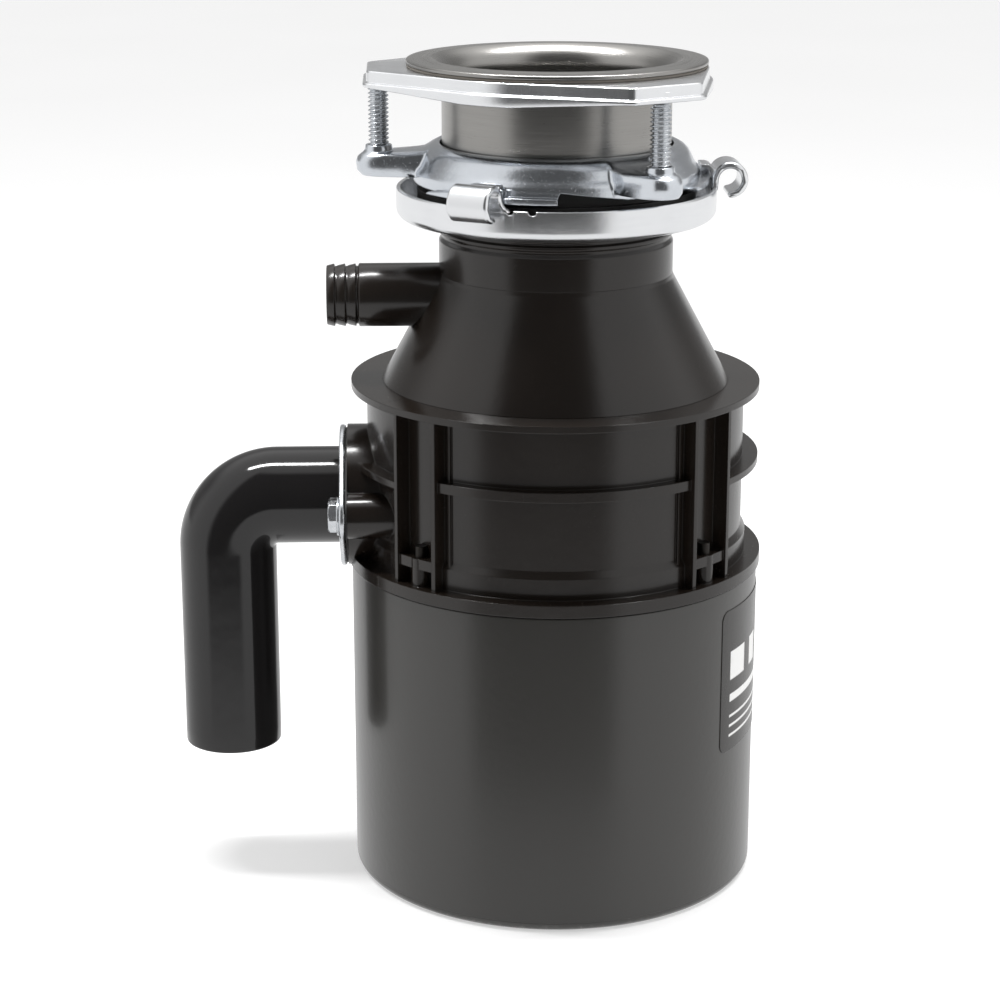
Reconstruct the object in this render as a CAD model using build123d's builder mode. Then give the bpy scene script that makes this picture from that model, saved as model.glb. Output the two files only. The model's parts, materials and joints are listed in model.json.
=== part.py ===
"""Kitchen garbage disposal, continuous feed, with a three-lug sink mount.

Millimetres. +Z is up and is the axis of the motor and the grind chamber.
The origin is on that axis, on the plane the motor can stands on.
The drain outlet points along -X. Directions are in degrees about +Z, from +X.
"""
from build123d import *
import math
import os

# Motor can: a drawn steel cup on a narrow foot ring
can_radius = 80.15
can_height = 126.4
sheet = 1.2
foot_inner_radius = 73.5
foot_top = 3.6
foot_round = 3.0
recess_radius = 71.0
recess_height = 4.0

# Holes in the base, shared by the can and the lower end frame
key_hole_radius = 9.0
wiring_center = (0, 40)
wiring_length = 34
wiring_width = 26
cover_length = 46
cover_width = 34
cover_screw_x = 20.2
cover_screw_radius = 1.6
ground_screw_radius = 2.0
conduit_radius = 11.1
ground_screw_place = (-30, 30)
reset_place = (30, -40)
reset_radius = 4.0
reset_hole_radius = 4.6

# Motor: stator stack between two end frames, held by long bolts
frame_radius = 78.9
frame_floor = recess_height + sheet
frame_plate = 3.0
hub_radius = 16.5
stack_bottom = 44.0
stack_top = 84.0
stator_radius = 71.0
stator_bore = 34.1
rim_inner_radius = 62.0
rim_outer_radius = 70.0
motor_bolt_circle = 66.0
motor_bolt_radius = 2.4
winding_inner_radius = 40.0
winding_outer_radius = 59.0
winding_height = 17.5
rotor_radius = 33.6
shaft_radius = 7.0
shaft_bottom = 9.5
shaft_shoulder = 168.0
shaft_top = 184.0
journal_gap = 0.05
stud_radius = 5.5
socket_across_flats = 6.35
bearing_radius = 11.0
lower_bearing_top = 22.0
upper_bearing_bottom = 104.0
upper_bearing_top = 126.0
seal_radius = 14.0
seal_top = 133.0
seal_hub_top = 133.5
upper_plate_bottom = 119.0
motor_bolt_top = 124.0

# Grind chamber: one moulding with flanged barrel, cone and neck
chamber_bottom = 127.0
flange_radius = 81.3
flange_thickness = 4.8
barrel_radius = 73.5
barrel_bore = 70.4
collar_radius = 79.5
collar_bottom = 196.8
collar_top = 199.4
cone_foot_radius = 67.4
cone_top_radius = 45.5
cone_top = 240.0
neck_radius = 45.0
neck_bore = 41.5
lip_radius = 50.5
lip_bottom = 265.0
lip_top = 268.2
wall_offset = 3.0
neck_bottom = cone_top + 1.5

# Channels and ribs on the barrel
channel_directions = (45, 135, 225, 315)
channel_half_angle = 7
channel_wall_middle = 75.9
channel_web = 4.0
channel_web_radius = 78.6
thin_rib_angle = 9.8
thin_rib_middle = 73.2
housing_bolt_circle = 75.4
housing_bolt_radius = 2.25
post_radius = 3.7
post_top = 142.8
bolt_tip = 147.2
rib_thickness = 2.6
shelf_height = 168.0
front_rib_height = 170.1
front_rib_thickness = 3.8
front_rib_radius = 77.6
shoulder_radius = 75.2
shoulder_bottom = 140.0
shoulder_top = 142.6

# Drain outlet on the barrel, and the tube clamped to it
outlet_height = 152.3
outlet_face = -81.35
outlet_radius = 27.8
outlet_panel_half = 31
outlet_bore = 17.5
drain_bolt_offset = 29.0
drain_bolt_height = 151.7
drain_bolt_radius = 3.0
drain_bolt_depth = 9.0
drain_boss_radius = 8.7
tube_radius = 19.05
tube_wall = 2.5
tube_drop_x = -129.1
tube_end = 50.6
tube_bend_radius = 20.0
collar_recess_radius = 23.0
collar_recess_depth = 2.8
clamp_back = -82.0
clamp_thickness = 2.4
clamp_disc_radius = 27.8
clamp_disc_drop = 0.3

# Dishwasher inlet on the cone
inlet_height = 232.2
inlet_tip = -88.3
inlet_barb_radius = 12.05
inlet_stub_radius = 12.2
inlet_bore = 8.5
inlet_web = -59.0
barb_pitch = 4.1
barb_length = 3.0
barb_depth = 0.9

# Shredder
disc_radius = 66.8
disc_bottom = 172.6
disc_thickness = 2.6
grind_ring_bottom = 169.0
grind_ring_top = 196.8
grind_ring_radius = 70.3
grind_ring_bore = 67.6
lug_pivot_radius = 40.0
lug_pivot_direction = 30
lug_turn = 75
lug_length = 17.0
lug_end_radius = 7.0
rivet_radius = 4.0

# Sink mount
sink_rim_radius = 57.15
sink_rim_top = 323.0
sink_tube_radius = 43.7
sink_tube_bottom = 274.9
sink_metal = 1.7
bowl_bottom = 313.5
snap_height = 2.2
snap_groove_depth = 0.8
fiber_thickness = 1.2
clamp_top = sink_rim_top - 2.0 - fiber_thickness
clamp_bottom = 311.0
clamp_wall = 2.6
clamp_step = 315.4
clamp_corner_bottom = 313.6
clamp_corner_half_angle = 17
clamp_circle = 59.5
clamp_corner_radius = 13.0
clamp_corner_circle = 60.4
clamp_bore = 49.4
screw_circle = 67.6
screw_directions = (180, 300, 60)
screw_radius = 3.95
screw_bottom = 279.4
screw_tip = 312.8
mount_top = 291.6
mount_web_bottom = 283.8
skirt_bottom = 276.6
skirt_radius = 54.6
ear_top = 288.8
ear_bottom = 279.0
ramp_radius = 58.4
ramp_foot = 276.0
unlock_angle = 36.0
unlock_lift = 3.5
tab_half_angle = 6.0
tab_bottom = 281.0
tab_thickness = 2.0
tab_gap = 0.3
tab_radius = 55.0

# Support ring that turns under the neck's lip
support_radius = 61.2
support_top = 274.4
support_bottom = 262.6
support_sheet = 1.7
hanger_width = 16.5
hanger_metal = 2.6
roll_center = (65.8, 277.0)
roll_radius = 6.9
roll_open_angle = -85

os.makedirs("parts", exist_ok=True)


def polar(radius, direction):
    """Point in plan at a radius and a direction in degrees."""
    angle = math.radians(direction)
    return (radius * math.cos(angle), radius * math.sin(angle))


def half_section(*points):
    """Turn a closed outline of (radius, height) points once round Z."""
    with BuildSketch(Plane.XZ) as section:
        with BuildLine():
            Polyline(*points, close=True)
        make_face()
    revolve(section.sketch, axis=Axis.Z)


def ring(inner_radius, outer_radius, bottom, top, mode=Mode.ADD):
    """Flat ring or disc about Z between two heights."""
    with BuildSketch(Plane.XY.offset(bottom)) as section:
        Circle(outer_radius)
        if inner_radius > 0:
            Circle(inner_radius, mode=Mode.SUBTRACT)
    extrude(section.sketch, amount=top - bottom, mode=mode)


def ring_sector(inner_radius, outer_radius, start, end, bottom, top, mode=Mode.ADD):
    """Part of a ring between two directions and two heights."""
    with BuildSketch(Plane.XY.offset(bottom)) as section:
        with BuildLine():
            outer = CenterArc((0, 0), outer_radius, start, end - start)
            inner = CenterArc((0, 0), inner_radius, start, end - start)
            Line(outer @ 0, inner @ 0)
            Line(outer @ 1, inner @ 1)
        make_face()
    extrude(section.sketch, amount=top - bottom, mode=mode)


def sloped_plane(radius, direction, height, rise_per_degree):
    """Plane through a point at a radius that climbs with growing direction."""
    x, y = polar(1, direction)
    slope = rise_per_degree / math.radians(1) / radius
    return Plane(
        origin=(radius * x, radius * y, height),
        x_dir=(x, y, 0),
        z_dir=(slope * y, -slope * x, 1),
    )


def save(builder, node):
    """Label a finished piece and write it under its node name."""
    builder.part.label = node
    export_step(builder.part, f"parts/{node}.step")


# Motor can: drawn wall
with BuildPart() as motor_can:
    ring(can_radius - sheet, can_radius, foot_top, can_height)
save(motor_can, "motor_can")

# Foot ring and recessed base of the can, with its holes
with BuildPart() as can_base:
    with BuildSketch(Plane.XZ):
        with BuildLine():
            Polyline(
                (can_radius, foot_top),
                (can_radius, 0),
                (foot_inner_radius, 0),
                (recess_radius, recess_height),
                (key_hole_radius, recess_height),
                (key_hole_radius, recess_height + sheet),
                (recess_radius + 0.4, recess_height + sheet),
                (foot_inner_radius + 0.6, sheet),
                (can_radius - sheet, sheet),
                (can_radius - sheet, foot_top),
                close=True,
            )
        make_face()
    revolve(axis=Axis.Z)
    foot_edges = can_base.edges().filter_by(GeomType.CIRCLE).group_by(Axis.Z)[0]
    fillet(foot_edges.sort_by(SortBy.LENGTH)[-1], foot_round)
    with BuildSketch(Plane.XY.offset(recess_height)):
        with Locations(wiring_center):
            Rectangle(wiring_length, wiring_width)
        with Locations(reset_place):
            Circle(reset_hole_radius)
        with Locations(ground_screw_place):
            Circle(ground_screw_radius)
        with Locations((cover_screw_x, wiring_center[1])):
            Circle(cover_screw_radius)
        with PolarLocations(motor_bolt_circle, 4, start_angle=45):
            Circle(motor_bolt_radius)
    extrude(amount=sheet, mode=Mode.SUBTRACT)
save(can_base, "can_base")

# Label on the side of the can
with BuildPart() as side_label:
    ring_sector(can_radius, can_radius + 0.25, -40, 40, 60, 118)
    fillet(side_label.edges().filter_by(lambda edge: edge.length < 1), 4)
save(side_label, "side_label")

# Lower end frame: plate, rim under the stator stack and bearing hub
with BuildPart() as lower_end_frame:
    ring(key_hole_radius, frame_radius - 0.3, frame_floor, frame_floor + frame_plate)
    ring(rim_inner_radius, rim_outer_radius, frame_floor, stack_bottom)
    ring(bearing_radius, hub_radius, frame_floor + frame_plate, lower_bearing_top)
    with BuildSketch(Plane.XY.offset(frame_floor)):
        with Locations(wiring_center):
            Rectangle(wiring_length, wiring_width)
        with Locations(reset_place):
            Circle(reset_hole_radius)
        with Locations(ground_screw_place):
            Circle(ground_screw_radius)
        with Locations((cover_screw_x, wiring_center[1])):
            Circle(cover_screw_radius)
    extrude(amount=frame_plate, mode=Mode.SUBTRACT)
    with BuildSketch(Plane.XY.offset(frame_floor)):
        with PolarLocations(motor_bolt_circle, 4, start_angle=45):
            Circle(motor_bolt_radius)
    extrude(amount=stack_bottom, mode=Mode.SUBTRACT)
    for direction in (0, 90, 180, 270):
        ring_sector(rim_inner_radius - 1, rim_outer_radius + 1, direction - 22, direction + 22,
                    16, 34, mode=Mode.SUBTRACT)
save(lower_end_frame, "lower_end_frame")

# Bushes that carry the shaft, and the washer under the rotor
with BuildPart() as lower_bearing:
    ring(shaft_radius + journal_gap, bearing_radius, frame_floor + frame_plate, lower_bearing_top)
save(lower_bearing, "lower_bearing")

with BuildPart() as thrust_washer:
    ring(shaft_radius + journal_gap, 13, lower_bearing_top, lower_bearing_top + 1.6)
save(thrust_washer, "thrust_washer")

with BuildPart() as upper_bearing:
    ring(shaft_radius + journal_gap, bearing_radius, upper_bearing_bottom, upper_bearing_top)
save(upper_bearing, "upper_bearing")

# Stator stack with inner slots
with BuildPart() as stator_core:
    ring(stator_bore, stator_radius, stack_bottom, stack_top)
    with BuildSketch(Plane.XY.offset(stack_bottom)):
        with PolarLocations(stator_bore + 9, 24):
            SlotOverall(14, 4.4)
        with PolarLocations(stator_bore, 24):
            Rectangle(8, 1.6)
        with PolarLocations(motor_bolt_circle, 4, start_angle=45):
            Circle(motor_bolt_radius)
    extrude(amount=stack_top - stack_bottom, mode=Mode.SUBTRACT)
save(stator_core, "stator_core")

# Copper end turns below and above the stack
winding_bottoms = {
    "lower_winding": stack_bottom - winding_height,
    "upper_winding": stack_top,
}
for winding_name, winding_bottom in winding_bottoms.items():
    with BuildPart() as winding:
        ring(winding_inner_radius, winding_outer_radius, winding_bottom, winding_bottom + winding_height)
        fillet(winding.edges(), 4)
    save(winding, winding_name)

# Upper end frame: floor of the drain chamber, with the seal hub on top
with BuildPart() as upper_end_frame:
    ring(bearing_radius, frame_radius, upper_plate_bottom, chamber_bottom)
    ring(0, seal_radius, upper_bearing_top, chamber_bottom, mode=Mode.SUBTRACT)
    ring(seal_radius, seal_radius + 5, chamber_bottom, seal_hub_top)
    with BuildSketch(Plane.XY.offset(upper_plate_bottom)):
        with PolarLocations(motor_bolt_circle, 4, start_angle=45):
            Circle(motor_bolt_radius)
    extrude(amount=motor_bolt_top - upper_plate_bottom, mode=Mode.SUBTRACT)
    with BuildSketch(Plane.XY.offset(upper_plate_bottom)):
        for direction in channel_directions:
            with PolarLocations(housing_bolt_circle, 1, start_angle=direction):
                Circle(housing_bolt_radius)
    extrude(amount=chamber_bottom - upper_plate_bottom, mode=Mode.SUBTRACT)
save(upper_end_frame, "upper_end_frame")

# Spacer between the stator stack and the upper end frame, and the bush's housing
with BuildPart() as upper_spacer:
    ring(rim_inner_radius, rim_outer_radius, stack_top, upper_plate_bottom)
    with BuildSketch(Plane.XY.offset(stack_top)):
        with PolarLocations(motor_bolt_circle, 4, start_angle=45):
            Circle(motor_bolt_radius)
    extrude(amount=upper_plate_bottom - stack_top, mode=Mode.SUBTRACT)
save(upper_spacer, "upper_spacer")

with BuildPart() as bearing_housing:
    ring(bearing_radius, hub_radius, upper_bearing_bottom, upper_plate_bottom)
save(bearing_housing, "bearing_housing")

# Lip seal round the shaft, and the flat seal under the chamber
with BuildPart() as shaft_seal:
    ring(shaft_radius + journal_gap, seal_radius, upper_bearing_top, seal_top)
save(shaft_seal, "shaft_seal")

with BuildPart() as chamber_seal:
    ring(66.5, barrel_bore - 0.1, chamber_bottom, chamber_bottom + 1.6)
save(chamber_seal, "chamber_seal")

# Bolts through the can, both end frames and the stator stack
with BuildPart() as motor_bolts:
    with BuildSketch(Plane.XY.offset(recess_height)):
        with PolarLocations(motor_bolt_circle, 4, start_angle=45):
            Circle(motor_bolt_radius)
    extrude(amount=motor_bolt_top - recess_height)
    with BuildSketch(Plane.XY.offset(recess_height)):
        with PolarLocations(motor_bolt_circle, 4, start_angle=45):
            RegularPolygon(4.0, 6, major_radius=False)
    extrude(amount=-3.0)
save(motor_bolts, "motor_bolts")

# Bolts that hold the grind chamber on the upper end frame
with BuildPart() as housing_bolts:
    with BuildSketch(Plane.XY.offset(upper_plate_bottom)):
        for direction in channel_directions:
            with PolarLocations(housing_bolt_circle, 1, start_angle=direction):
                Circle(housing_bolt_radius)
    extrude(amount=bolt_tip - upper_plate_bottom)
    with BuildSketch(Plane.XY.offset(upper_plate_bottom)):
        for direction in channel_directions:
            with PolarLocations(housing_bolt_circle, 1, start_angle=direction):
                Circle(3.4)
    extrude(amount=-3.0)
save(housing_bolts, "housing_bolts")

# Wiring cover with the conduit hole, its screw and the ground screw
with BuildPart() as wiring_cover:
    with BuildSketch(Plane.XY.offset(recess_height)):
        with Locations(wiring_center):
            RectangleRounded(cover_length, cover_width, 3)
            Circle(conduit_radius, mode=Mode.SUBTRACT)
        with Locations((cover_screw_x, wiring_center[1])):
            Circle(cover_screw_radius, mode=Mode.SUBTRACT)
    extrude(amount=-sheet)
save(wiring_cover, "wiring_cover")

with BuildPart() as wiring_cover_screw:
    with BuildSketch(Plane.XY.offset(recess_height - sheet)):
        with Locations((cover_screw_x, wiring_center[1])):
            Circle(cover_screw_radius)
    extrude(amount=frame_floor + frame_plate - recess_height + sheet)
    with BuildSketch(Plane.XY.offset(recess_height - sheet)):
        with Locations((cover_screw_x, wiring_center[1])):
            Circle(2.9)
    extrude(amount=-1.6)
save(wiring_cover_screw, "wiring_cover_screw")

with BuildPart() as ground_screw:
    with BuildSketch(Plane.XY.offset(recess_height)):
        with Locations(ground_screw_place):
            Circle(ground_screw_radius)
    extrude(amount=sheet + frame_plate)
    with BuildSketch(Plane.XY.offset(recess_height)):
        with Locations(ground_screw_place):
            RegularPolygon(4.0, 6, major_radius=False)
    extrude(amount=-2.8)
save(ground_screw, "ground_screw")

# Motor start relay, overload protector and its reset button
with BuildPart() as start_relay:
    with BuildSketch(Plane.XY.offset(frame_floor + frame_plate)):
        with Locations((-38, 0)):
            RectangleRounded(24, 30, 2)
    extrude(amount=15)
save(start_relay, "start_relay")

with BuildPart() as overload_protector:
    with BuildSketch(Plane.XY.offset(frame_floor + frame_plate)):
        with Locations(reset_place):
            Circle(9)
            Circle(reset_radius + 0.08, mode=Mode.SUBTRACT)
    extrude(amount=7)
    with BuildSketch(Plane.XY.offset(frame_floor + frame_plate + 7)):
        with Locations(reset_place):
            Circle(9)
    extrude(amount=8)
save(overload_protector, "overload_protector")

with BuildPart() as reset_button:
    with BuildSketch(Plane.XY.offset(recess_height)):
        with Locations(reset_place):
            Circle(reset_radius)
    extrude(amount=10)
    fillet(reset_button.edges().group_by(Axis.Z)[0], 0.8)
save(reset_button, "reset_button")

# Rotor: shaft with a hexagon key socket below and a stud above
with BuildPart() as shaft:
    ring(0, shaft_radius, shaft_bottom, shaft_shoulder)
    ring(0, stud_radius, shaft_shoulder, shaft_top)
    with BuildSketch(Plane.XY.offset(shaft_bottom)):
        RegularPolygon(socket_across_flats / 2, 6, major_radius=False)
    extrude(amount=10, mode=Mode.SUBTRACT)
    chamfer(shaft.edges().group_by(Axis.Z)[-1], 0.8)
save(shaft, "shaft")

with BuildPart() as rotor_core:
    ring(shaft_radius, rotor_radius, stack_bottom, stack_top)
save(rotor_core, "rotor_core")

with BuildPart() as rotor_end_rings:
    for side_bottom, blade_bottom in ((stack_bottom - 6, stack_bottom - 14), (stack_top, stack_top + 6)):
        ring(22, rotor_radius, side_bottom, side_bottom + 6)
        with BuildSketch(Plane.XY.offset(blade_bottom)):
            with PolarLocations(28, 8):
                Rectangle(9, 1.8)
        extrude(amount=8)
save(rotor_end_rings, "rotor_end_rings")

with BuildPart() as water_slinger:
    half_section((shaft_radius, 134.2), (22, 134.2), (22, 135.6), (11, 137.2), (11, 141), (shaft_radius, 141))
save(water_slinger, "water_slinger")

# Shredder disc, with its hub, drain holes and under-cutters
with BuildPart() as shredder_disc:
    ring(stud_radius, disc_radius, disc_bottom, disc_bottom + disc_thickness)
    ring(stud_radius, 15, shaft_shoulder, disc_bottom)
    with BuildSketch(Plane.XY.offset(disc_bottom)):
        with PolarLocations(57, 6, start_angle=15):
            Circle(3.2)
        with PolarLocations(disc_radius, 2, start_angle=100):
            Circle(3.5)
        with PolarLocations(lug_pivot_radius, 2, start_angle=lug_pivot_direction):
            Circle(rivet_radius)
    extrude(amount=disc_thickness, mode=Mode.SUBTRACT)
    with BuildSketch(Plane.XY.offset(disc_bottom)):
        with PolarLocations(60, 2, start_angle=150):
            Rectangle(9, 3)
    extrude(amount=-3)
save(shredder_disc, "shredder_disc")

disc_top = disc_bottom + disc_thickness

with BuildPart() as disc_nut:
    with BuildSketch(Plane.XY.offset(disc_top)):
        RegularPolygon(8.5, 6, major_radius=False)
        Circle(stud_radius, mode=Mode.SUBTRACT)
    extrude(amount=6)
    chamfer(disc_nut.edges().group_by(Axis.Z)[-1].filter_by(GeomType.LINE), 0.7)
save(disc_nut, "disc_nut")

# Rivets on which the two swivel lugs turn
lug_base = 3.4
rivet_head_gap = 0.3
with BuildPart() as lug_rivets:
    with BuildSketch(Plane.XY.offset(disc_bottom)):
        with PolarLocations(lug_pivot_radius, 2, start_angle=lug_pivot_direction):
            Circle(rivet_radius)
    extrude(amount=disc_thickness + lug_base + 2 * rivet_head_gap)
    with BuildSketch(Plane.XY.offset(disc_top + lug_base + 2 * rivet_head_gap)):
        with PolarLocations(lug_pivot_radius, 2, start_angle=lug_pivot_direction):
            Circle(6)
    extrude(amount=2.4)
    fillet(lug_rivets.edges().group_by(Axis.Z)[-1], 1.2)
save(lug_rivets, "lug_rivets")

# Two swivel lugs: a flat arm on the rivet with a raised hammer at its end
for number in (1, 2):
    pivot_direction = lug_pivot_direction + 180 * (number - 1)
    pivot_x, pivot_y = polar(lug_pivot_radius, pivot_direction)
    lug_x_dir = polar(1, pivot_direction + lug_turn)
    lug_plane = Plane(
        origin=(pivot_x, pivot_y, disc_top + rivet_head_gap),
        x_dir=(lug_x_dir[0], lug_x_dir[1], 0),
        z_dir=(0, 0, 1),
    )
    with BuildPart() as swivel_lug:
        with BuildSketch(lug_plane):
            with Locations((lug_length / 2, 0)):
                SlotCenterToCenter(lug_length, 2 * lug_end_radius)
            Circle(rivet_radius + 0.06, mode=Mode.SUBTRACT)
        extrude(amount=lug_base)
        with BuildSketch(lug_plane.offset(lug_base)):
            with Locations((lug_length / 2, 0)):
                SlotCenterToCenter(lug_length, 2 * lug_end_radius)
            with Locations((0, 0)):
                Rectangle(23, 30, mode=Mode.SUBTRACT)
        extrude(amount=9)
        fillet(swivel_lug.edges().group_by(Axis.Z)[-1], 1.0)
    save(swivel_lug, f"swivel_lug_{number}")

# Fixed shredder ring in the barrel, with slots along its lower edge
with BuildPart() as grind_ring:
    ring(grind_ring_bore, grind_ring_radius, grind_ring_bottom, grind_ring_top)
    with BuildSketch(Plane.XY.offset(grind_ring_bottom)):
        with PolarLocations((grind_ring_bore + grind_ring_radius) / 2, 30):
            Rectangle(5, 3.2)
    extrude(amount=9, mode=Mode.SUBTRACT)
save(grind_ring, "grind_ring")

# Grind chamber: barrel with its flange, collar, channels and ribs
cone_slope = (cone_foot_radius - cone_top_radius) / (cone_top - collar_top)
wall_shift = wall_offset * math.hypot(1, cone_slope)
collar_inner_bottom = cone_foot_radius + cone_slope * (collar_top - collar_bottom) - wall_shift
collar_inner_top = cone_foot_radius - wall_shift
cone_inner_top = collar_bottom + (collar_inner_bottom - neck_bore) / cone_slope
barrel_bottom = chamber_bottom + flange_thickness
half_panel = 45 - channel_half_angle
with BuildPart() as grind_chamber:
    half_section(
        (barrel_bore, chamber_bottom),
        (flange_radius, chamber_bottom),
        (flange_radius, barrel_bottom),
        (barrel_radius, barrel_bottom),
        (barrel_radius, collar_bottom),
        (collar_radius, collar_bottom),
        (collar_radius, collar_top),
        (collar_inner_top, collar_top),
        (collar_inner_bottom, collar_bottom),
        (barrel_bore, collar_bottom),
    )
    # Thicker foot of the barrel, left out inside the channels
    half_section(
        (72, barrel_bottom),
        (shoulder_radius, barrel_bottom),
        (shoulder_radius, shoulder_bottom),
        (barrel_radius, shoulder_top),
        (72, shoulder_top),
    )
    for direction in channel_directions:
        ring_sector(barrel_radius, shoulder_radius + 1, direction - channel_half_angle,
                    direction + channel_half_angle, barrel_bottom, shoulder_top, mode=Mode.SUBTRACT)
    # Walls, web and post of the four bolt channels
    with BuildSketch(Plane.XY.offset(barrel_bottom)):
        for direction in channel_directions:
            for side in (-1, 1):
                wall_direction = direction + side * channel_half_angle
                with PolarLocations(channel_wall_middle, 1, start_angle=wall_direction):
                    Rectangle(7.2, 1.8)
                with PolarLocations(thin_rib_middle, 1, start_angle=direction + side * thin_rib_angle):
                    Rectangle(2.8, 1.2)
    extrude(amount=collar_bottom - barrel_bottom)
    for direction in channel_directions:
        ring_sector(72, channel_web_radius, direction - channel_half_angle, direction + channel_half_angle,
                    post_top - channel_web, post_top)
        with BuildSketch(Plane.XY.offset(chamber_bottom)):
            with PolarLocations(housing_bolt_circle, 1, start_angle=direction):
                Circle(post_radius)
        extrude(amount=post_top - chamber_bottom)
    # Ribs round the barrel: slim on the front panel, a wide shelf on the others
    ring_sector(72, front_rib_radius, 270 - half_panel, 270 + half_panel,
                front_rib_height, front_rib_height + front_rib_thickness)
    for direction in (0, 90, 180):
        ring_sector(72, collar_radius, direction - half_panel, direction + half_panel,
                    shelf_height, shelf_height + rib_thickness)
    # Way out to the drain, and bolt holes through the flange and the posts
    with BuildSketch(Plane.YZ.offset(outlet_face)):
        with Locations((0, outlet_height)):
            Circle(outlet_bore)
    extrude(amount=30, mode=Mode.SUBTRACT)
    with BuildSketch(Plane.YZ.offset(outlet_face)):
        with Locations((0, outlet_height)):
            Circle(collar_recess_radius)
    extrude(amount=collar_recess_depth, mode=Mode.SUBTRACT)
    with BuildSketch(Plane.XY.offset(chamber_bottom)):
        for direction in channel_directions:
            with PolarLocations(housing_bolt_circle, 1, start_angle=direction):
                Circle(housing_bolt_radius)
    extrude(amount=bolt_tip - chamber_bottom, mode=Mode.SUBTRACT)

# The barrel is kept in two nodes: the panel that carries the outlet, and the rest
with BuildPart() as outlet_panel_space:
    ring_sector(60, 85, 180 - outlet_panel_half, 180 + outlet_panel_half, chamber_bottom, collar_top)

with BuildPart() as barrel_rest:
    add(grind_chamber.part)
    add(outlet_panel_space.part, mode=Mode.SUBTRACT)
save(barrel_rest, "grind_chamber")

# Cone above the barrel, open to the inlet
with BuildPart() as chamber_cone:
    half_section(
        (collar_inner_top, collar_top),
        (cone_foot_radius, collar_top),
        (cone_top_radius, cone_top),
        (neck_radius, neck_bottom),
        (neck_bore, neck_bottom),
        (neck_bore, cone_inner_top),
    )
    with BuildSketch(Plane.YZ.offset(inlet_tip)):
        with Locations((0, inlet_height)):
            Circle(inlet_bore)
    extrude(amount=50, mode=Mode.SUBTRACT)
save(chamber_cone, "chamber_cone")

# Neck with its lip and three thread-like ridges
with BuildPart() as chamber_neck:
    half_section(
        (neck_bore, neck_bottom),
        (neck_radius, neck_bottom),
        (neck_radius, lip_bottom),
        (lip_radius, lip_bottom),
        (lip_radius, lip_top),
        (neck_bore, lip_top),
    )
    for ridge_height in (254.6, 257.8, 261.0):
        half_section(
            (neck_radius - 1, ridge_height - 1.5),
            (neck_radius + 1.2, ridge_height - 0.5),
            (neck_radius + 1.2, ridge_height + 0.5),
            (neck_radius - 1, ridge_height + 1.5),
        )
save(chamber_neck, "chamber_neck")

# Drain outlet boss with its two bolt bosses, on its panel of the barrel
with BuildPart() as outlet_boss:
    with BuildSketch(Plane.YZ.offset(outlet_face)):
        with Locations((0, outlet_height)):
            Circle(outlet_radius)
        for side in (-1, 1):
            with Locations((side * drain_bolt_offset, drain_bolt_height)):
                Circle(drain_boss_radius)
        with Locations((0, chamber_bottom - 20)):
            Rectangle(100, 40, mode=Mode.SUBTRACT)
    extrude(amount=22)
    ring(0, barrel_radius, chamber_bottom, collar_bottom, mode=Mode.SUBTRACT)
    add(barrel_rest.part, mode=Mode.SUBTRACT)
    add(grind_chamber.part & outlet_panel_space.part)
    # Bore, recess for the tube's collar, and the bolt holes
    with BuildSketch(Plane.YZ.offset(outlet_face)):
        with Locations((0, outlet_height)):
            Circle(outlet_bore)
    extrude(amount=30, mode=Mode.SUBTRACT)
    with BuildSketch(Plane.YZ.offset(outlet_face)):
        with Locations((0, outlet_height)):
            Circle(collar_recess_radius)
    extrude(amount=collar_recess_depth, mode=Mode.SUBTRACT)
    with BuildSketch(Plane.YZ.offset(outlet_face)):
        for side in (-1, 1):
            with Locations((side * drain_bolt_offset, drain_bolt_height)):
                Circle(drain_bolt_radius)
    extrude(amount=drain_bolt_depth, mode=Mode.SUBTRACT)
save(outlet_boss, "outlet_boss")

# Dishwasher inlet stub with three barbs, its bore closed by a thin knock-out web
with BuildPart() as inlet_stub:
    with BuildSketch(Plane.YZ.offset(inlet_tip + 3 * barb_pitch)):
        with Locations((0, inlet_height)):
            Circle(inlet_stub_radius)
    extrude(amount=36)
    for number in range(3):
        barb_start = inlet_tip + number * barb_pitch
        with BuildSketch(Plane.YZ.offset(barb_start)) as barb_foot:
            with Locations((0, inlet_height)):
                Circle(inlet_barb_radius - barb_depth)
        with BuildSketch(Plane.YZ.offset(barb_start + barb_length)) as barb_crest:
            with Locations((0, inlet_height)):
                Circle(inlet_barb_radius)
        loft()
        with BuildSketch(Plane.YZ.offset(barb_start + barb_length)):
            with Locations((0, inlet_height)):
                Circle(inlet_barb_radius - barb_depth)
        extrude(amount=barb_pitch - barb_length)
    with BuildSketch(Plane.YZ.offset(inlet_tip)):
        with Locations((0, inlet_height)):
            Circle(inlet_bore)
    extrude(amount=50, mode=Mode.SUBTRACT)
    with BuildSketch(Plane.YZ.offset(inlet_web)):
        with Locations((0, inlet_height)):
            Circle(inlet_bore + 1)
    extrude(amount=1.6)
    with BuildSketch(Plane.XZ) as cone_outline:
        with BuildLine():
            Polyline(
                (0, collar_top),
                (cone_foot_radius, collar_top),
                (cone_top_radius, cone_top),
                (neck_radius, neck_bottom),
                (neck_radius, lip_bottom),
                (0, lip_bottom),
                close=True,
            )
        make_face()
    revolve(axis=Axis.Z, mode=Mode.SUBTRACT)
save(inlet_stub, "inlet_stub")

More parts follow.
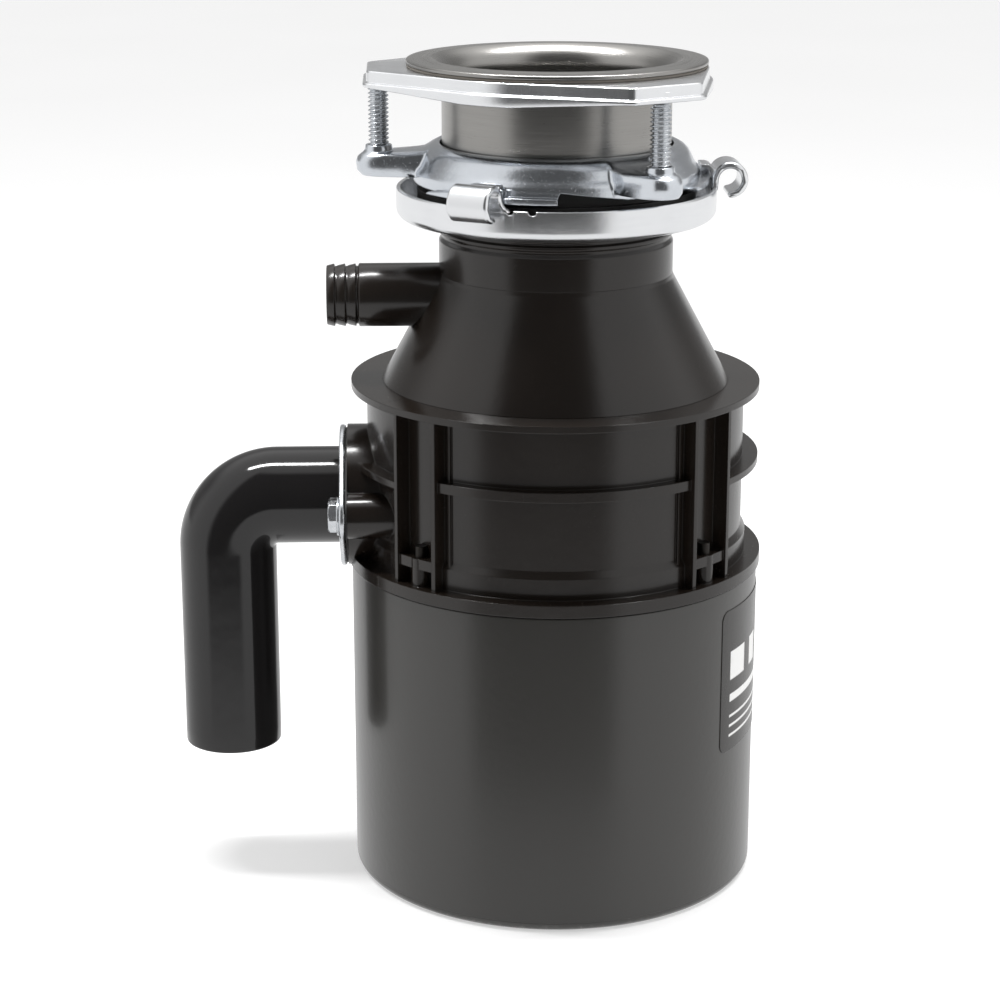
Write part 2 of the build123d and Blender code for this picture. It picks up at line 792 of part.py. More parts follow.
# Drain tube: level leg with a flat collar held in the outlet's recess, bend and falling leg
tube_start = outlet_face + 0.3
tube_collar_radius = 22.6
bend_start = tube_drop_x + tube_bend_radius
bend_end = outlet_height - tube_bend_radius
with BuildPart() as drain_tube:
    with BuildSketch(Plane.YZ.offset(bend_start)):
        with Locations((0, outlet_height)):
            Circle(tube_radius)
    extrude(amount=tube_start - bend_start)
    with BuildSketch(Plane.YZ.offset(tube_start)):
        with Locations((0, outlet_height)):
            Circle(tube_collar_radius)
    extrude(amount=2.0)
    with BuildSketch(Plane.YZ.offset(bend_start)):
        with Locations((0, outlet_height)):
            Circle(tube_radius - tube_wall)
    extrude(amount=tube_start - bend_start + 2.0, mode=Mode.SUBTRACT)
save(drain_tube, "drain_tube")

with BuildPart() as drain_bend:
    with BuildSketch(Plane.YZ.offset(bend_start)):
        with Locations((0, outlet_height)):
            Circle(tube_radius)
            Circle(tube_radius - tube_wall, mode=Mode.SUBTRACT)
    revolve(axis=Axis((bend_start, 0, bend_end), (0, -1, 0)), revolution_arc=90)
save(drain_bend, "drain_bend")

with BuildPart() as drain_drop:
    with BuildSketch(Plane.XY.offset(tube_end)):
        with Locations((tube_drop_x, 0)):
            Circle(tube_radius)
            Circle(tube_radius - tube_wall, mode=Mode.SUBTRACT)
    extrude(amount=bend_end - tube_end)
save(drain_drop, "drain_drop")

# Gasket, clamp flange and bolts at the drain outlet
def clamp_outline(edge_inset, hole_radius):
    """Oval with two bolt ears and a round hole, drawn in the clamp's plane."""
    with BuildSketch(Plane.YZ.offset(clamp_back)) as outline:
        with Locations((0, outlet_height - clamp_disc_drop)):
            Circle(clamp_disc_radius - edge_inset)
        for side in (-1, 1):
            with Locations((side * (drain_bolt_offset + 1), drain_bolt_height)):
                Circle(9.2 - edge_inset)
        make_hull()
        with Locations((0, outlet_height)):
            Circle(hole_radius, mode=Mode.SUBTRACT)
        for side in (-1, 1):
            with Locations((side * drain_bolt_offset, drain_bolt_height)):
                Circle(drain_bolt_radius, mode=Mode.SUBTRACT)
    return outline.sketch


with BuildPart() as drain_gasket:
    extrude(clamp_outline(1.2, collar_recess_radius), amount=outlet_face - clamp_back)
save(drain_gasket, "drain_gasket")

with BuildPart() as drain_clamp:
    extrude(clamp_outline(0, tube_radius + 0.35), amount=-clamp_thickness)
save(drain_clamp, "drain_clamp")

with BuildPart() as drain_bolts:
    with BuildSketch(Plane.YZ.offset(clamp_back - clamp_thickness)):
        for side in (-1, 1):
            with Locations((side * drain_bolt_offset, drain_bolt_height)):
                Circle(drain_bolt_radius)
    extrude(amount=clamp_thickness + drain_bolt_depth)
    with BuildSketch(Plane.YZ.offset(clamp_back - clamp_thickness)):
        for side in (-1, 1):
            with Locations((side * drain_bolt_offset, drain_bolt_height)):
                RegularPolygon(5.55, 6, major_radius=False)
    extrude(amount=-4.5)
save(drain_bolts, "drain_bolts")

# Splash guard: rubber seal on the neck's lip with slit flaps in the throat
with BuildPart() as splash_guard:
    half_section(
        (13, 261.5),
        (39.5, 268.4),
        (lip_radius, 268.4),
        (lip_radius, 266.0),
        (53.2, 266.0),
        (53.2, 274.4),
        (46, 274.4),
        (44, 272.6),
        (40, 272.6),
        (13, 263.9),
    )
    with BuildSketch(Plane.XY.offset(260)):
        with PolarLocations(25, 8, start_angle=22.5):
            SlotOverall(26, 1.4)
    extrude(amount=15, mode=Mode.SUBTRACT)
save(splash_guard, "splash_guard")

# Support ring: turns under the lip, with two notches beside each hanger
with BuildPart() as notch:
    for offset_angle in (10.5, 18.4):
        notch_x, notch_y = polar(1, offset_angle)
        with BuildSketch(Plane(origin=(0, 0, support_top), z_dir=(notch_x, notch_y, 0))):
            Circle(1.5)
        extrude(amount=support_radius + 2)

with BuildPart() as support_ring:
    with BuildSketch(Plane.XZ):
        with BuildLine():
            FilletPolyline(
                (neck_radius + 1.6, support_bottom + support_sheet),
                (support_radius - support_sheet, support_bottom + support_sheet),
                (support_radius - support_sheet, support_top),
                radius=2.0,
            )
            FilletPolyline(
                (neck_radius + 1.6, support_bottom),
                (support_radius, support_bottom),
                (support_radius, support_top),
                radius=3.7,
            )
            Line((neck_radius + 1.6, support_bottom), (neck_radius + 1.6, support_bottom + support_sheet))
            Line((support_radius - support_sheet, support_top), (support_radius, support_top))
        make_face()
    revolve(axis=Axis.Z)
    with PolarLocations(0, 3):
        add(notch.part, mode=Mode.SUBTRACT)
save(support_ring, "support_ring")

# Three rolled hangers standing on the ring's edge, each with an inward tab
with BuildPart() as hanger:
    with BuildSketch(Plane.XZ):
        with BuildLine():
            outer_arc = CenterArc(roll_center, roll_radius, roll_open_angle, 180 - roll_open_angle)
            inner_arc = CenterArc(roll_center, roll_radius - hanger_metal, roll_open_angle,
                                  180 - roll_open_angle)
            Line(outer_arc @ 0, inner_arc @ 0)
            Polyline(
                outer_arc @ 1,
                (roll_center[0] - roll_radius, support_top),
                (roll_center[0] - roll_radius + hanger_metal, support_top),
                inner_arc @ 1,
            )
        make_face()
    extrude(amount=hanger_width / 2, both=True)
    ring_sector(tab_radius, 62.5, -tab_half_angle, tab_half_angle, tab_bottom, tab_bottom + tab_thickness)

for hanger_name, direction in (("hanger_right", 0), ("hanger_back", 120), ("hanger_front", 240)):
    with BuildPart() as placed_hanger:
        add(hanger.part, rotation=(0, 0, direction))
    save(placed_hanger, hanger_name)

# Mounting ring: domed casting with three screw ears and three ramps
climb = unlock_lift / unlock_angle
ramp_start = tab_half_angle - unlock_angle + 1
ramp_middle = (ramp_start + tab_half_angle) / 2
ramp_middle_height = tab_bottom - tab_gap - climb * (tab_half_angle - ramp_middle)
with BuildPart() as ramp:
    ring_sector(53.4, ramp_radius, ramp_start, tab_half_angle + 1, ramp_foot, tab_bottom + 2)
    split(bisect_by=sloped_plane(56.5, ramp_middle, ramp_middle_height, climb), keep=Keep.BOTTOM)
    ring_sector(53.4, ramp_radius, tab_half_angle + 1, 27, ramp_foot, 278.5)

arch_start_height = 280.0
arch_fall = (arch_start_height - skirt_bottom) / 25
with BuildPart() as arch:
    ring_sector(50, 56, 27, 55, skirt_bottom - 1, skirt_bottom + 6)
    split(bisect_by=sloped_plane(53, 27, arch_start_height, -arch_fall), keep=Keep.BOTTOM)

with BuildPart() as mounting_ring:
    with BuildSketch(Plane.XZ):
        with BuildLine():
            Polyline(
                (44.3, mount_web_bottom),
                (44.3, mount_top - 1.2),
                (46.0, mount_top),
                (49.4, mount_top),
            )
            ThreePointArc((49.4, mount_top), (51.6, 290.0), (52.4, 287.6))
            Polyline(
                (52.4, 287.6),
                (52.8, 285.2),
                (skirt_radius, 282.5),
                (skirt_radius, skirt_bottom),
                (51.4, skirt_bottom),
                (51.4, 281.5),
                (49.5, mount_web_bottom),
                (44.3, mount_web_bottom),
            )
        make_face()
    revolve(axis=Axis.Z)
    for direction in screw_directions:
        ear_x_dir = polar(1, direction)
        with BuildSketch(Plane(origin=(0, 0, ear_bottom), x_dir=(ear_x_dir[0], ear_x_dir[1], 0),
                               z_dir=(0, 0, 1))):
            with Locations((screw_circle, 0)):
                Circle(9.0)
            with Locations((56.5, 0)):
                Circle(10.0)
            make_hull()
        extrude(amount=ear_top - ear_bottom)
        with BuildSketch(Plane.XY.offset(ear_top)):
            with Locations(polar(screw_circle, direction)):
                Circle(4.9)
        extrude(amount=2.6)
    # Clear the inside again after the ears
    ring(0, 49.5, mount_web_bottom - 6, mount_web_bottom, mode=Mode.SUBTRACT)
    ring(0, 44.3, mount_web_bottom - 1, mount_top + 1, mode=Mode.SUBTRACT)
    with BuildSketch(Plane.XY.offset(ear_bottom - 6)):
        for direction in screw_directions:
            with Locations(polar(screw_circle, direction)):
                Circle(screw_radius + 0.08)
    extrude(amount=30, mode=Mode.SUBTRACT)
    with PolarLocations(0, 3):
        add(ramp.part)
        add(arch.part, mode=Mode.SUBTRACT)
save(mounting_ring, "mounting_ring")

# Snap ring in the sink tube's groove, under the mounting ring's web
with BuildPart() as snap_ring:
    ring_sector(sink_tube_radius - snap_groove_depth, 46.8, 100, 446,
                mount_web_bottom - snap_height, mount_web_bottom)
save(snap_ring, "snap_ring")

# Sink flange: rolled rim and bowl, and the straight tube below them
sink_tube_inner = sink_tube_radius - sink_metal
with BuildPart() as sink_flange:
    with BuildSketch(Plane.XZ):
        with BuildLine():
            ThreePointArc((sink_tube_inner, bowl_bottom), (43.2, 319.4), (46.8, sink_rim_top - 0.3))
            Polyline(
                (46.8, sink_rim_top - 0.3),
                (48.0, sink_rim_top),
                (sink_rim_radius - 0.9, sink_rim_top - 0.3),
                (sink_rim_radius, sink_rim_top - 1.1),
                (sink_rim_radius, sink_rim_top - 2.0),
                (48.6, sink_rim_top - 2.0),
            )
            ThreePointArc((48.6, sink_rim_top - 2.0), (45.0, 318.6), (sink_tube_radius, bowl_bottom))
            Line((sink_tube_radius, bowl_bottom), (sink_tube_inner, bowl_bottom))
        make_face()
    revolve(axis=Axis.Z)
save(sink_flange, "sink_flange")

with BuildPart() as sink_tube:
    ring(sink_tube_inner, sink_tube_radius, sink_tube_bottom, bowl_bottom)
    ring(sink_tube_radius - snap_groove_depth, sink_tube_radius + 1, mount_web_bottom - snap_height,
         mount_web_bottom, mode=Mode.SUBTRACT)
save(sink_tube, "sink_tube")

# Fibre gasket under the rim
with BuildPart() as fiber_gasket:
    ring(50, sink_rim_radius, clamp_top, clamp_top + fiber_thickness)
save(fiber_gasket, "fiber_gasket")

# Clamp plate: stepped, round with three blunt corners, hollow below
with BuildPart() as clamp_plate:
    for outline_drop, tier_bottom, tier_top in (
        (0.0, clamp_bottom, clamp_step),
        (1.5, clamp_step, clamp_top),
    ):
        with BuildSketch(Plane.XY.offset(tier_bottom)):
            Circle(clamp_circle - outline_drop)
            for direction in screw_directions:
                with Locations(polar(clamp_corner_circle, direction)):
                    Circle(clamp_corner_radius - outline_drop)
            make_hull()
        extrude(amount=tier_top - tier_bottom)
    with BuildSketch(Plane.XY.offset(clamp_bottom)):
        Circle(clamp_circle - clamp_wall)
        for direction in screw_directions:
            with Locations(polar(clamp_corner_circle, direction)):
                Circle(clamp_corner_radius - clamp_wall)
        make_hull()
        Circle(clamp_bore + 2.4, mode=Mode.SUBTRACT)
    extrude(amount=6, mode=Mode.SUBTRACT)
    ring(0, clamp_bore, clamp_bottom, clamp_top, mode=Mode.SUBTRACT)
    # The skirt is shallower at the three corners, where pads meet the screw tips
    for direction in screw_directions:
        ring_sector(clamp_bore + 2.4, clamp_circle + 30, direction - clamp_corner_half_angle,
                    direction + clamp_corner_half_angle, clamp_bottom, clamp_corner_bottom,
                    mode=Mode.SUBTRACT)
    with BuildSketch(Plane.XY.offset(screw_tip + 0.2)):
        for direction in screw_directions:
            with Locations(polar(screw_circle, direction)):
                Circle(5.0)
    extrude(amount=clamp_bottom + 6 - screw_tip - 0.2)
    with BuildSketch(Plane.XY.offset(clamp_bottom)):
        for direction in screw_directions:
            with Locations(polar(screw_circle, direction)):
                Circle(screw_radius + 0.45)
    extrude(amount=screw_tip + 0.2 - clamp_bottom, mode=Mode.SUBTRACT)
save(clamp_plate, "clamp_plate")

# Mounting screws, slotted below and pointed above
for number, direction in enumerate(screw_directions, start=1):
    screw_place = polar(screw_circle, direction)
    with BuildPart() as mounting_screw:
        with BuildSketch(Plane.XY.offset(screw_bottom)):
            with Locations(screw_place):
                Circle(screw_radius)
        extrude(amount=screw_tip - screw_bottom)
        chamfer(mounting_screw.edges().group_by(Axis.Z)[-1], 1.2)
        with BuildSketch(Plane.XY.offset(screw_bottom)):
            with Locations(screw_place):
                Rectangle(9, 1.2)
        extrude(amount=2, mode=Mode.SUBTRACT)
    save(mounting_screw, f"mounting_screw_{number}")
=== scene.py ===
"""Looks of the kitchen garbage disposal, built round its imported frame.

Metres, +Z up, in the frame of the CAD part. Directions are in degrees about +Z, from +X.
New pieces are closed sections carried along a path and joined into shells.
"""
import json
import math

import bmesh
import bpy
import numpy as np
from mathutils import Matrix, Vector


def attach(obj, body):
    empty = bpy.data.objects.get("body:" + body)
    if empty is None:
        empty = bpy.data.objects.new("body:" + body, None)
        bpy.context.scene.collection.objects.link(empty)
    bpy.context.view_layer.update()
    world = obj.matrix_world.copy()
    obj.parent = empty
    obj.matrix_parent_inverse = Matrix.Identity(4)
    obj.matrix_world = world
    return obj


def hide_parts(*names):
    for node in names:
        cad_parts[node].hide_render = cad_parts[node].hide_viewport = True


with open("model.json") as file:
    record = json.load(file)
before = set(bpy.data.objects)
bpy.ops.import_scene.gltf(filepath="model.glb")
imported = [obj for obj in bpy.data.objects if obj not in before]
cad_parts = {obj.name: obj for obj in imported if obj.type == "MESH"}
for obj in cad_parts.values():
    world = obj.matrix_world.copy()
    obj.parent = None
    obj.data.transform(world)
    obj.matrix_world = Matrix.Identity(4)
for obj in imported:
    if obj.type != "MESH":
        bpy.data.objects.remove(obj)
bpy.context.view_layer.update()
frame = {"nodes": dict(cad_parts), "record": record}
nodes = frame["nodes"]

MM = 0.001


# ---------------------------------------------------------------- camera and studio

def camera():
    """A long lens a little above the sink flange, looking down at the front left."""
    place = Vector((-59.7, -975.8, 434.8)) * MM
    heading = math.radians(2.24)
    pitch = math.radians(16.31)
    forward = Vector((
        math.sin(heading) * math.cos(pitch),
        math.cos(heading) * math.cos(pitch),
        -math.sin(pitch),
    ))
    data = bpy.data.cameras.new("camera")
    data.sensor_width = 36
    data.lens = 92.585
    data.clip_start = 0.01
    data.clip_end = 100
    view = bpy.data.objects.new("camera", data)
    view.location = place
    view.rotation_euler = forward.to_track_quat("-Z", "Y").to_euler()
    bpy.context.scene.collection.objects.link(view)
    bpy.context.scene.camera = view


class Value:
    """A number in a node tree; arithmetic on it adds Math nodes."""

    def __init__(self, tree, socket):
        self.tree = tree
        self.socket = socket

    def __add__(self, other):
        return calculate("ADD", self, other)

    def __radd__(self, other):
        return calculate("ADD", other, self)

    def __sub__(self, other):
        return calculate("SUBTRACT", self, other)

    def __rsub__(self, other):
        return calculate("SUBTRACT", other, self)

    def __mul__(self, other):
        return calculate("MULTIPLY", self, other)

    def __rmul__(self, other):
        return calculate("MULTIPLY", other, self)

    def __truediv__(self, other):
        return calculate("DIVIDE", self, other)

    def __rtruediv__(self, other):
        return calculate("DIVIDE", other, self)

    def __pow__(self, other):
        return calculate("POWER", self, other)

    def sine(self):
        """Sine of an angle in radians."""
        return calculate("SINE", self)

    def angle_from(self, other):
        """Angle in radians whose tangent is this value over the other."""
        return calculate("ARCTAN2", self, other)

    def larger(self, other):
        """The larger of two values."""
        return calculate("MAXIMUM", self, other)

    def smaller(self, other):
        """The smaller of two values."""
        return calculate("MINIMUM", self, other)

    def clamped(self):
        """Hold the value between 0 and 1."""
        return self.larger(0.0).smaller(1.0)

    def ramp(self, low, high):
        """Go from 0 at low to 1 at high in a straight line."""
        return ((self - low) / (high - low)).clamped()

    def smooth(self, low, high):
        """Go from 0 at low to 1 at high with soft ends."""
        share = self.ramp(low, high)
        return share * share * (3.0 - 2.0 * share)


def calculate(operation, *items):
    """Add one Math node on one or two values or numbers."""
    tree = next(item.tree for item in items if isinstance(item, Value))
    made = tree.nodes.new("ShaderNodeMath")
    made.operation = operation
    for slot, item in zip(made.inputs, items):
        if isinstance(item, Value):
            tree.links.new(item.socket, slot)
        else:
            slot.default_value = item
    return Value(tree, made.outputs[0])


def find_socket(sockets, key):
    """A socket by its number, its identifier or its name."""
    if isinstance(key, int):
        return sockets[key]
    for test in ("identifier", "name"):
        for socket in sockets:
            if getattr(socket, test) == key:
                return socket
    raise KeyError(key)


def add_node(tree, kind, settings=None, inputs=None, output=0):
    """Add a node: its settings first, then the values or links of its sockets."""
    made = tree.nodes.new(kind)
    for key, item in (settings or {}).items():
        if key == "stops":
            ramp = made.color_ramp.elements
            while len(ramp) < len(item):
                ramp.new(0.5)
            for element, (position, colour) in zip(ramp, item):
                element.position = position
                element.color = (*colour, 1.0)
        else:
            setattr(made, key, item)
    for key, item in (inputs or {}).items():
        socket = find_socket(made.inputs, key)
        if isinstance(item, Value):
            tree.links.new(item.socket, socket)
        else:
            socket.default_value = item
    return Value(tree, find_socket(made.outputs, output))


def studio():
    """Surroundings white to the camera. What lights the object and shows in its reflections has
    a dark panel towards the front and a dim wall behind, under one strip light above."""
    scene = bpy.context.scene
    world = bpy.data.worlds.new("studio")
    scene.world = world
    world.use_nodes = True
    tree = world.node_tree
    tree.nodes.clear()
    direction = add_node(tree, "ShaderNodeTexCoord", output="Generated")
    parts = tree.nodes.new("ShaderNodeSeparateXYZ")
    tree.links.new(direction.socket, parts.inputs[0])
    x, y, z = (Value(tree, socket) for socket in parts.outputs)
    level = (x * x + y * y + 0.0001) ** 0.5
    frontness = (y * -0.988 + x * -0.155) / level
    panel = frontness.smooth(0.69, 0.84)
    band = z.smooth(-0.37, -0.285) * (1.0 - z.smooth(0.88, 0.96))
    wall = (y / level).smooth(0.1, 0.6) * z.smooth(-0.02, 0.07) * (1.0 - z.smooth(0.40, 0.70))
    shade = 1.0 - 0.90 * (panel * band) - 0.66 * wall
    seen = add_node(tree, "ShaderNodeLightPath", output="Is Camera Ray")
    light = shade * (1.0 - seen) + seen
    glow = add_node(tree, "ShaderNodeBackground", inputs={"Strength": light})
    glow.socket.node.inputs["Color"].default_value = (1.0, 1.0, 1.0, 1.0)
    out = tree.nodes.new("ShaderNodeOutputWorld")
    tree.links.new(glow.socket, out.inputs["Surface"])
    scene.view_settings.view_transform = "Standard"

    data = bpy.data.lights.new("overhead_strip", "AREA")
    data.shape = "RECTANGLE"
    data.size = 1.20
    data.size_y = 0.11
    data.energy = 27.0
    lamp = bpy.data.objects.new("overhead_strip", data)
    lamp.location = Vector((-0.05, 0.05, 1.30))
    aim = Vector((-0.05, 0.0, 0.2)) - lamp.location
    lamp.rotation_euler = aim.to_track_quat("-Z", "Y").to_euler()
    scene.collection.objects.link(lamp)


def floor():
    """A wide floor just under the can's foot ring. It glows a little, so that it joins the white
    surroundings, and it doesn't show in reflections."""
    half = 6.0
    mesh = bpy.data.meshes.new("studio_floor")
    level = -0.0002
    corners = [(-half, -half, level), (half, -half, level), (half, half, level), (-half, half, level)]
    mesh.from_pydata(corners, [], [(0, 1, 2, 3)])
    ground = bpy.data.objects.new("studio_floor", mesh)
    bpy.context.scene.collection.objects.link(ground)
    paper = Finish("floor_paper")
    paper.constants(**{"Roughness": 0.9, "Specular IOR Level": 0.1})
    paper.constants(**{"Emission Strength": 0.50, "Emission Color": (1.0, 1.0, 1.0, 1.0)})
    paper.colour((0.50, 0.50, 0.50), (0.54, 0.54, 0.54), paper.noise(3.0))
    mesh.materials.append(paper.material)
    ground.visible_glossy = False


# ---------------------------------------------------------------- finishes

class Finish:
    """One material: a Principled shader and the patterns that feed it."""

    def __init__(self, name):
        self.material = bpy.data.materials.new(name)
        self.material.use_nodes = True
        self.tree = self.material.node_tree
        self.tree.nodes.clear()
        self.shader = self.tree.nodes.new("ShaderNodeBsdfPrincipled")
        out = self.tree.nodes.new("ShaderNodeOutputMaterial")
        self.tree.links.new(self.shader.outputs[0], out.inputs["Surface"])
        self.place = self.node("ShaderNodeTexCoord", output="Object")

    def node(self, kind, settings=None, inputs=None, output=0):
        """Add any node to this material."""
        return add_node(self.tree, kind, settings, inputs, output)

    def constants(self, **values):
        """Set sockets that are the same all over the surface."""
        for name, value in values.items():
            self.shader.inputs[name].default_value = value

    def drive(self, name, value):
        """Feed a socket of the shader with a value that varies."""
        self.tree.links.new(value.socket, self.shader.inputs[name])

    def stretched(self, x, y, z, turn=(0, 0, 0)):
        """Object coordinates scaled along each axis."""
        inputs = {"Vector": self.place, "Scale": (x, y, z), "Rotation": turn}
        return self.node("ShaderNodeMapping", inputs=inputs)

    def noise(self, scale, detail=3.0, roughness=0.5, place=None):
        """Cloudy pattern from 0 to 1, with about `scale` clouds to the metre."""
        inputs = {"Vector": place or self.place, "Scale": scale, "Detail": detail, "Roughness": roughness}
        return self.node("ShaderNodeTexNoise", inputs=inputs)

    def cells(self, scale, output="Distance", place=None, feature="F1"):
        """Voronoi cells with about `scale` cells to the metre."""
        return self.node("ShaderNodeTexVoronoi", {"feature": feature},
                         {"Vector": place or self.place, "Scale": scale}, output)

    def parts(self):
        """The x, y and z of a point of the piece."""
        split = self.node("ShaderNodeSeparateXYZ", inputs={0: self.place})
        return [Value(self.tree, socket) for socket in split.socket.node.outputs]

    def polar(self, turns, radial, axial):
        """Coordinates that follow a turned surface: round it, out from it and along it."""
        x, y, z = self.parts()
        away = (x * x + y * y) ** 0.5
        return self.node("ShaderNodeCombineXYZ",
                         inputs={0: y.angle_from(x) * turns, 1: away * radial, 2: z * axial})

    def mix(self, share, low, high):
        """Blend two colours, each given or worked out."""
        inputs = {"Factor_Float": share}
        for key, colour in (("A_Color", low), ("B_Color", high)):
            inputs[key] = colour if isinstance(colour, Value) else (*colour, 1.0)
        return self.node("ShaderNodeMix", {"data_type": "RGBA"}, inputs, "Result_Color")

    def colour(self, low, high, share):
        """Blend the base colour between two colours and return it."""
        blended = self.mix(share, low, high)
        self.drive("Base Color", blended)
        return blended

    def relief(self, height, depth, strength=1.0, edge=0.0004):
        """Raise the surface by a pattern, with a depth in metres, over softened edges."""
        soft = self.node("ShaderNodeBevel", {"samples": 6}, {"Radius": edge})
        bump = self.node("ShaderNodeBump", output="Normal", inputs={
            "Height": height, "Distance": depth, "Strength": strength, "Normal": soft})
        self.drive("Normal", bump)


def can_paint():
    """Baked dark grey-brown enamel with orange peel, faint runs, and a foot lightened in patches that stand
    for scuffs and also paint the bottom edge's highlight.
    """
    paint = Finish("can_paint")
    _, _, z = paint.parts()
    clouds = paint.noise(9.0, 4.0)
    runs = paint.noise(30.0, 3.0, place=paint.stretched(1, 1, 0.12))
    dust = paint.noise(900.0, 2.0, 0.7).smooth(0.68, 0.80)
    tone = clouds * 0.6 + runs * 0.4
    body = paint.mix(tone, (0.0240, 0.0225, 0.0200), (0.0330, 0.0315, 0.0285))
    dusty = paint.mix(dust * 0.10, body, (0.16, 0.15, 0.14))
    # Painted highlight and scuffs: the bottom 3 mm of the can is lightened in patches, standing for the lit
    # bottom edge as well as wear.
    foot_scuff_and_painted_highlight = (1.0 - z.smooth(0.0004, 0.0030)) * paint.noise(420.0, 4.0, 0.6).smooth(0.50, 0.66)
    paint.drive("Base Color", paint.mix(foot_scuff_and_painted_highlight * 0.55, dusty, (0.22, 0.21, 0.20)))
    paint.drive("Roughness", 0.27 + 0.10 * clouds + 0.05 * dust + 0.18 * foot_scuff_and_painted_highlight)
    paint.constants(**{"Coat Weight": 0.35, "Coat Roughness": 0.12, "Specular IOR Level": 0.5})
    peel = paint.noise(360.0, 2.0, 0.45) * 0.8 + paint.noise(1500.0, 1.0) * 0.12
    paint.relief(peel, 0.00010, 0.55)
    return paint.material


def chamber_plastic():
    """Moulded dark brown-black plastic: glossy, with flow marks and a fine texture."""
    plastic = Finish("chamber_plastic")
    clouds = plastic.noise(14.0, 4.0)
    flow = plastic.noise(42.0, 3.0, place=plastic.polar(0.05, 1.0, 0.35))
    plastic.colour((0.0075, 0.0052, 0.0040), (0.0140, 0.0105, 0.0080), clouds * 0.5 + flow * 0.5)
    specks = plastic.noise(1300.0, 2.0, 0.6).smooth(0.66, 0.78)
    plastic.drive("Roughness", 0.13 + 0.10 * flow + 0.06 * clouds + 0.12 * specks)
    plastic.constants(**{"Specular IOR Level": 0.52})
    surface = plastic.noise(220.0, 3.0) * 0.7 + plastic.noise(2200.0, 2.0) * 0.10
    plastic.relief(surface, 0.00010, 0.40)
    return plastic.material


def tube_plastic():
    """Polished black plastic with faint polishing waves."""
    plastic = Finish("tube_plastic")
    clouds = plastic.noise(22.0, 3.0)
    plastic.colour((0.0065, 0.0060, 0.0062), (0.0110, 0.0102, 0.0104), clouds)
    scratches = plastic.noise(260.0, 3.0, 0.6, plastic.stretched(6, 1, 0.25)).smooth(0.62, 0.74)
    plastic.drive("Roughness", 0.055 + 0.05 * clouds + 0.10 * scratches)
    plastic.relief(plastic.noise(75.0, 2.0) + scratches * 0.04, 0.00016, 0.30)
    return plastic.material


def cast_bright():
    """Bright tumbled die casting: satin, with flow marks and small pits."""
    cast = Finish("cast_bright")
    clouds = cast.noise(70.0, 5.0, 0.6)
    pits = cast.cells(900.0).smooth(0.02, 0.16)
    stain = cast.noise(28.0, 4.0, 0.55)
    cast.colour((0.52, 0.55, 0.59), (0.76, 0.79, 0.83), clouds * 0.55 + stain * 0.45)
    cast.drive("Roughness", 0.15 + 0.15 * clouds + 0.12 * (1.0 - pits))
    cast.constants(**{"Metallic": 1.0})
    cast.relief(clouds * 0.9 + pits * 0.25 + cast.noise(260.0, 3.0) * 0.35, 0.00030, 0.55)
    return cast.material


def bright_steel():
    """Pressed steel with bright plating, drawn marks round it and thin haze."""
    steel = Finish("bright_steel")
    haze = steel.noise(38.0, 4.0, 0.6)
    draw = steel.noise(160.0, 3.0, 0.6, steel.polar(0.02, 1.0, 2.6))
    steel.colour((0.70, 0.71, 0.73), (0.88, 0.89, 0.90), haze * 0.6 + draw * 0.4)
    steel.drive("Roughness", 0.14 + 0.14 * haze + 0.06 * draw)
    steel.constants(**{"Metallic": 1.0})
    steel.relief(draw * 0.35 + steel.noise(120.0, 3.0) * 0.8, 0.00020, 0.35)
    return steel.material


def sink_stainless():
    """Turned and brushed stainless steel: fine rings on the rim, hoops on the tube."""
    steel = Finish("sink_stainless")
    rings = steel.noise(1.0, 4.0, 0.7, steel.polar(3.0, 5200.0, 2600.0))
    broad = steel.noise(1.0, 2.0, 0.5, steel.polar(1.2, 700.0, 420.0))
    smudge = steel.noise(26.0, 4.0, 0.6)
    steel.colour((0.24, 0.235, 0.225), (0.38, 0.37, 0.355), rings * 0.45 + broad * 0.25 + smudge * 0.30)
    steel.drive("Roughness", 0.19 + 0.12 * rings + 0.08 * smudge)
    steel.constants(**{"Metallic": 1.0})
    steel.relief(rings + broad * 0.6, 0.00004, 0.5)
    return steel.material


def zinc_steel():
    """Zinc-plated steel: bluish, with spangle and dull patches."""
    zinc = Finish("zinc_steel")
    spangle = zinc.cells(420.0, "Color")
    patches = zinc.noise(150.0, 4.0, 0.6)
    tone = zinc.node("ShaderNodeSeparateColor", inputs={0: spangle}, output=0)
    zinc.colour((0.50, 0.52, 0.55), (0.80, 0.82, 0.84), tone * 0.35 + patches * 0.65)
    zinc.drive("Roughness", 0.16 + 0.20 * patches)
    zinc.constants(**{"Metallic": 1.0})
    zinc.relief(patches + zinc.noise(1400.0, 2.0) * 0.3, 0.00008, 0.5)
    return zinc.material


def fiber_sheet():
    """Pressed fibre gasket: grey-brown with short crossed fibres."""
    sheet = Finish("fiber_sheet")
    along = sheet.noise(700.0, 3.0, 0.7, sheet.stretched(1, 0.12, 1))
    across = sheet.noise(700.0, 3.0, 0.7, sheet.stretched(0.12, 1, 1))
    layers = sheet.noise(1.0, 2.0, 0.5, sheet.polar(6.0, 60.0, 5200.0))
    fibres = along.larger(across)
    sheet.colour((0.070, 0.062, 0.052), (0.20, 0.18, 0.155), fibres * 0.6 + layers * 0.4)
    sheet.drive("Roughness", 0.70 + 0.20 * fibres)
    sheet.relief(fibres + layers * 0.5, 0.00010, 0.7)
    return sheet.material


def moulded_rubber():
    """Black moulded rubber with bloom and a grainy skin."""
    rubber = Finish("moulded_rubber")
    bloom = rubber.noise(45.0, 4.0, 0.6)
    grain = rubber.noise(1100.0, 3.0, 0.6)
    rubber.colour((0.010, 0.010, 0.010), (0.036, 0.035, 0.033), bloom)
    rubber.drive("Roughness", 0.42 + 0.22 * bloom + 0.10 * grain)
    rubber.relief(grain, 0.00010, 0.5)
    return rubber.material


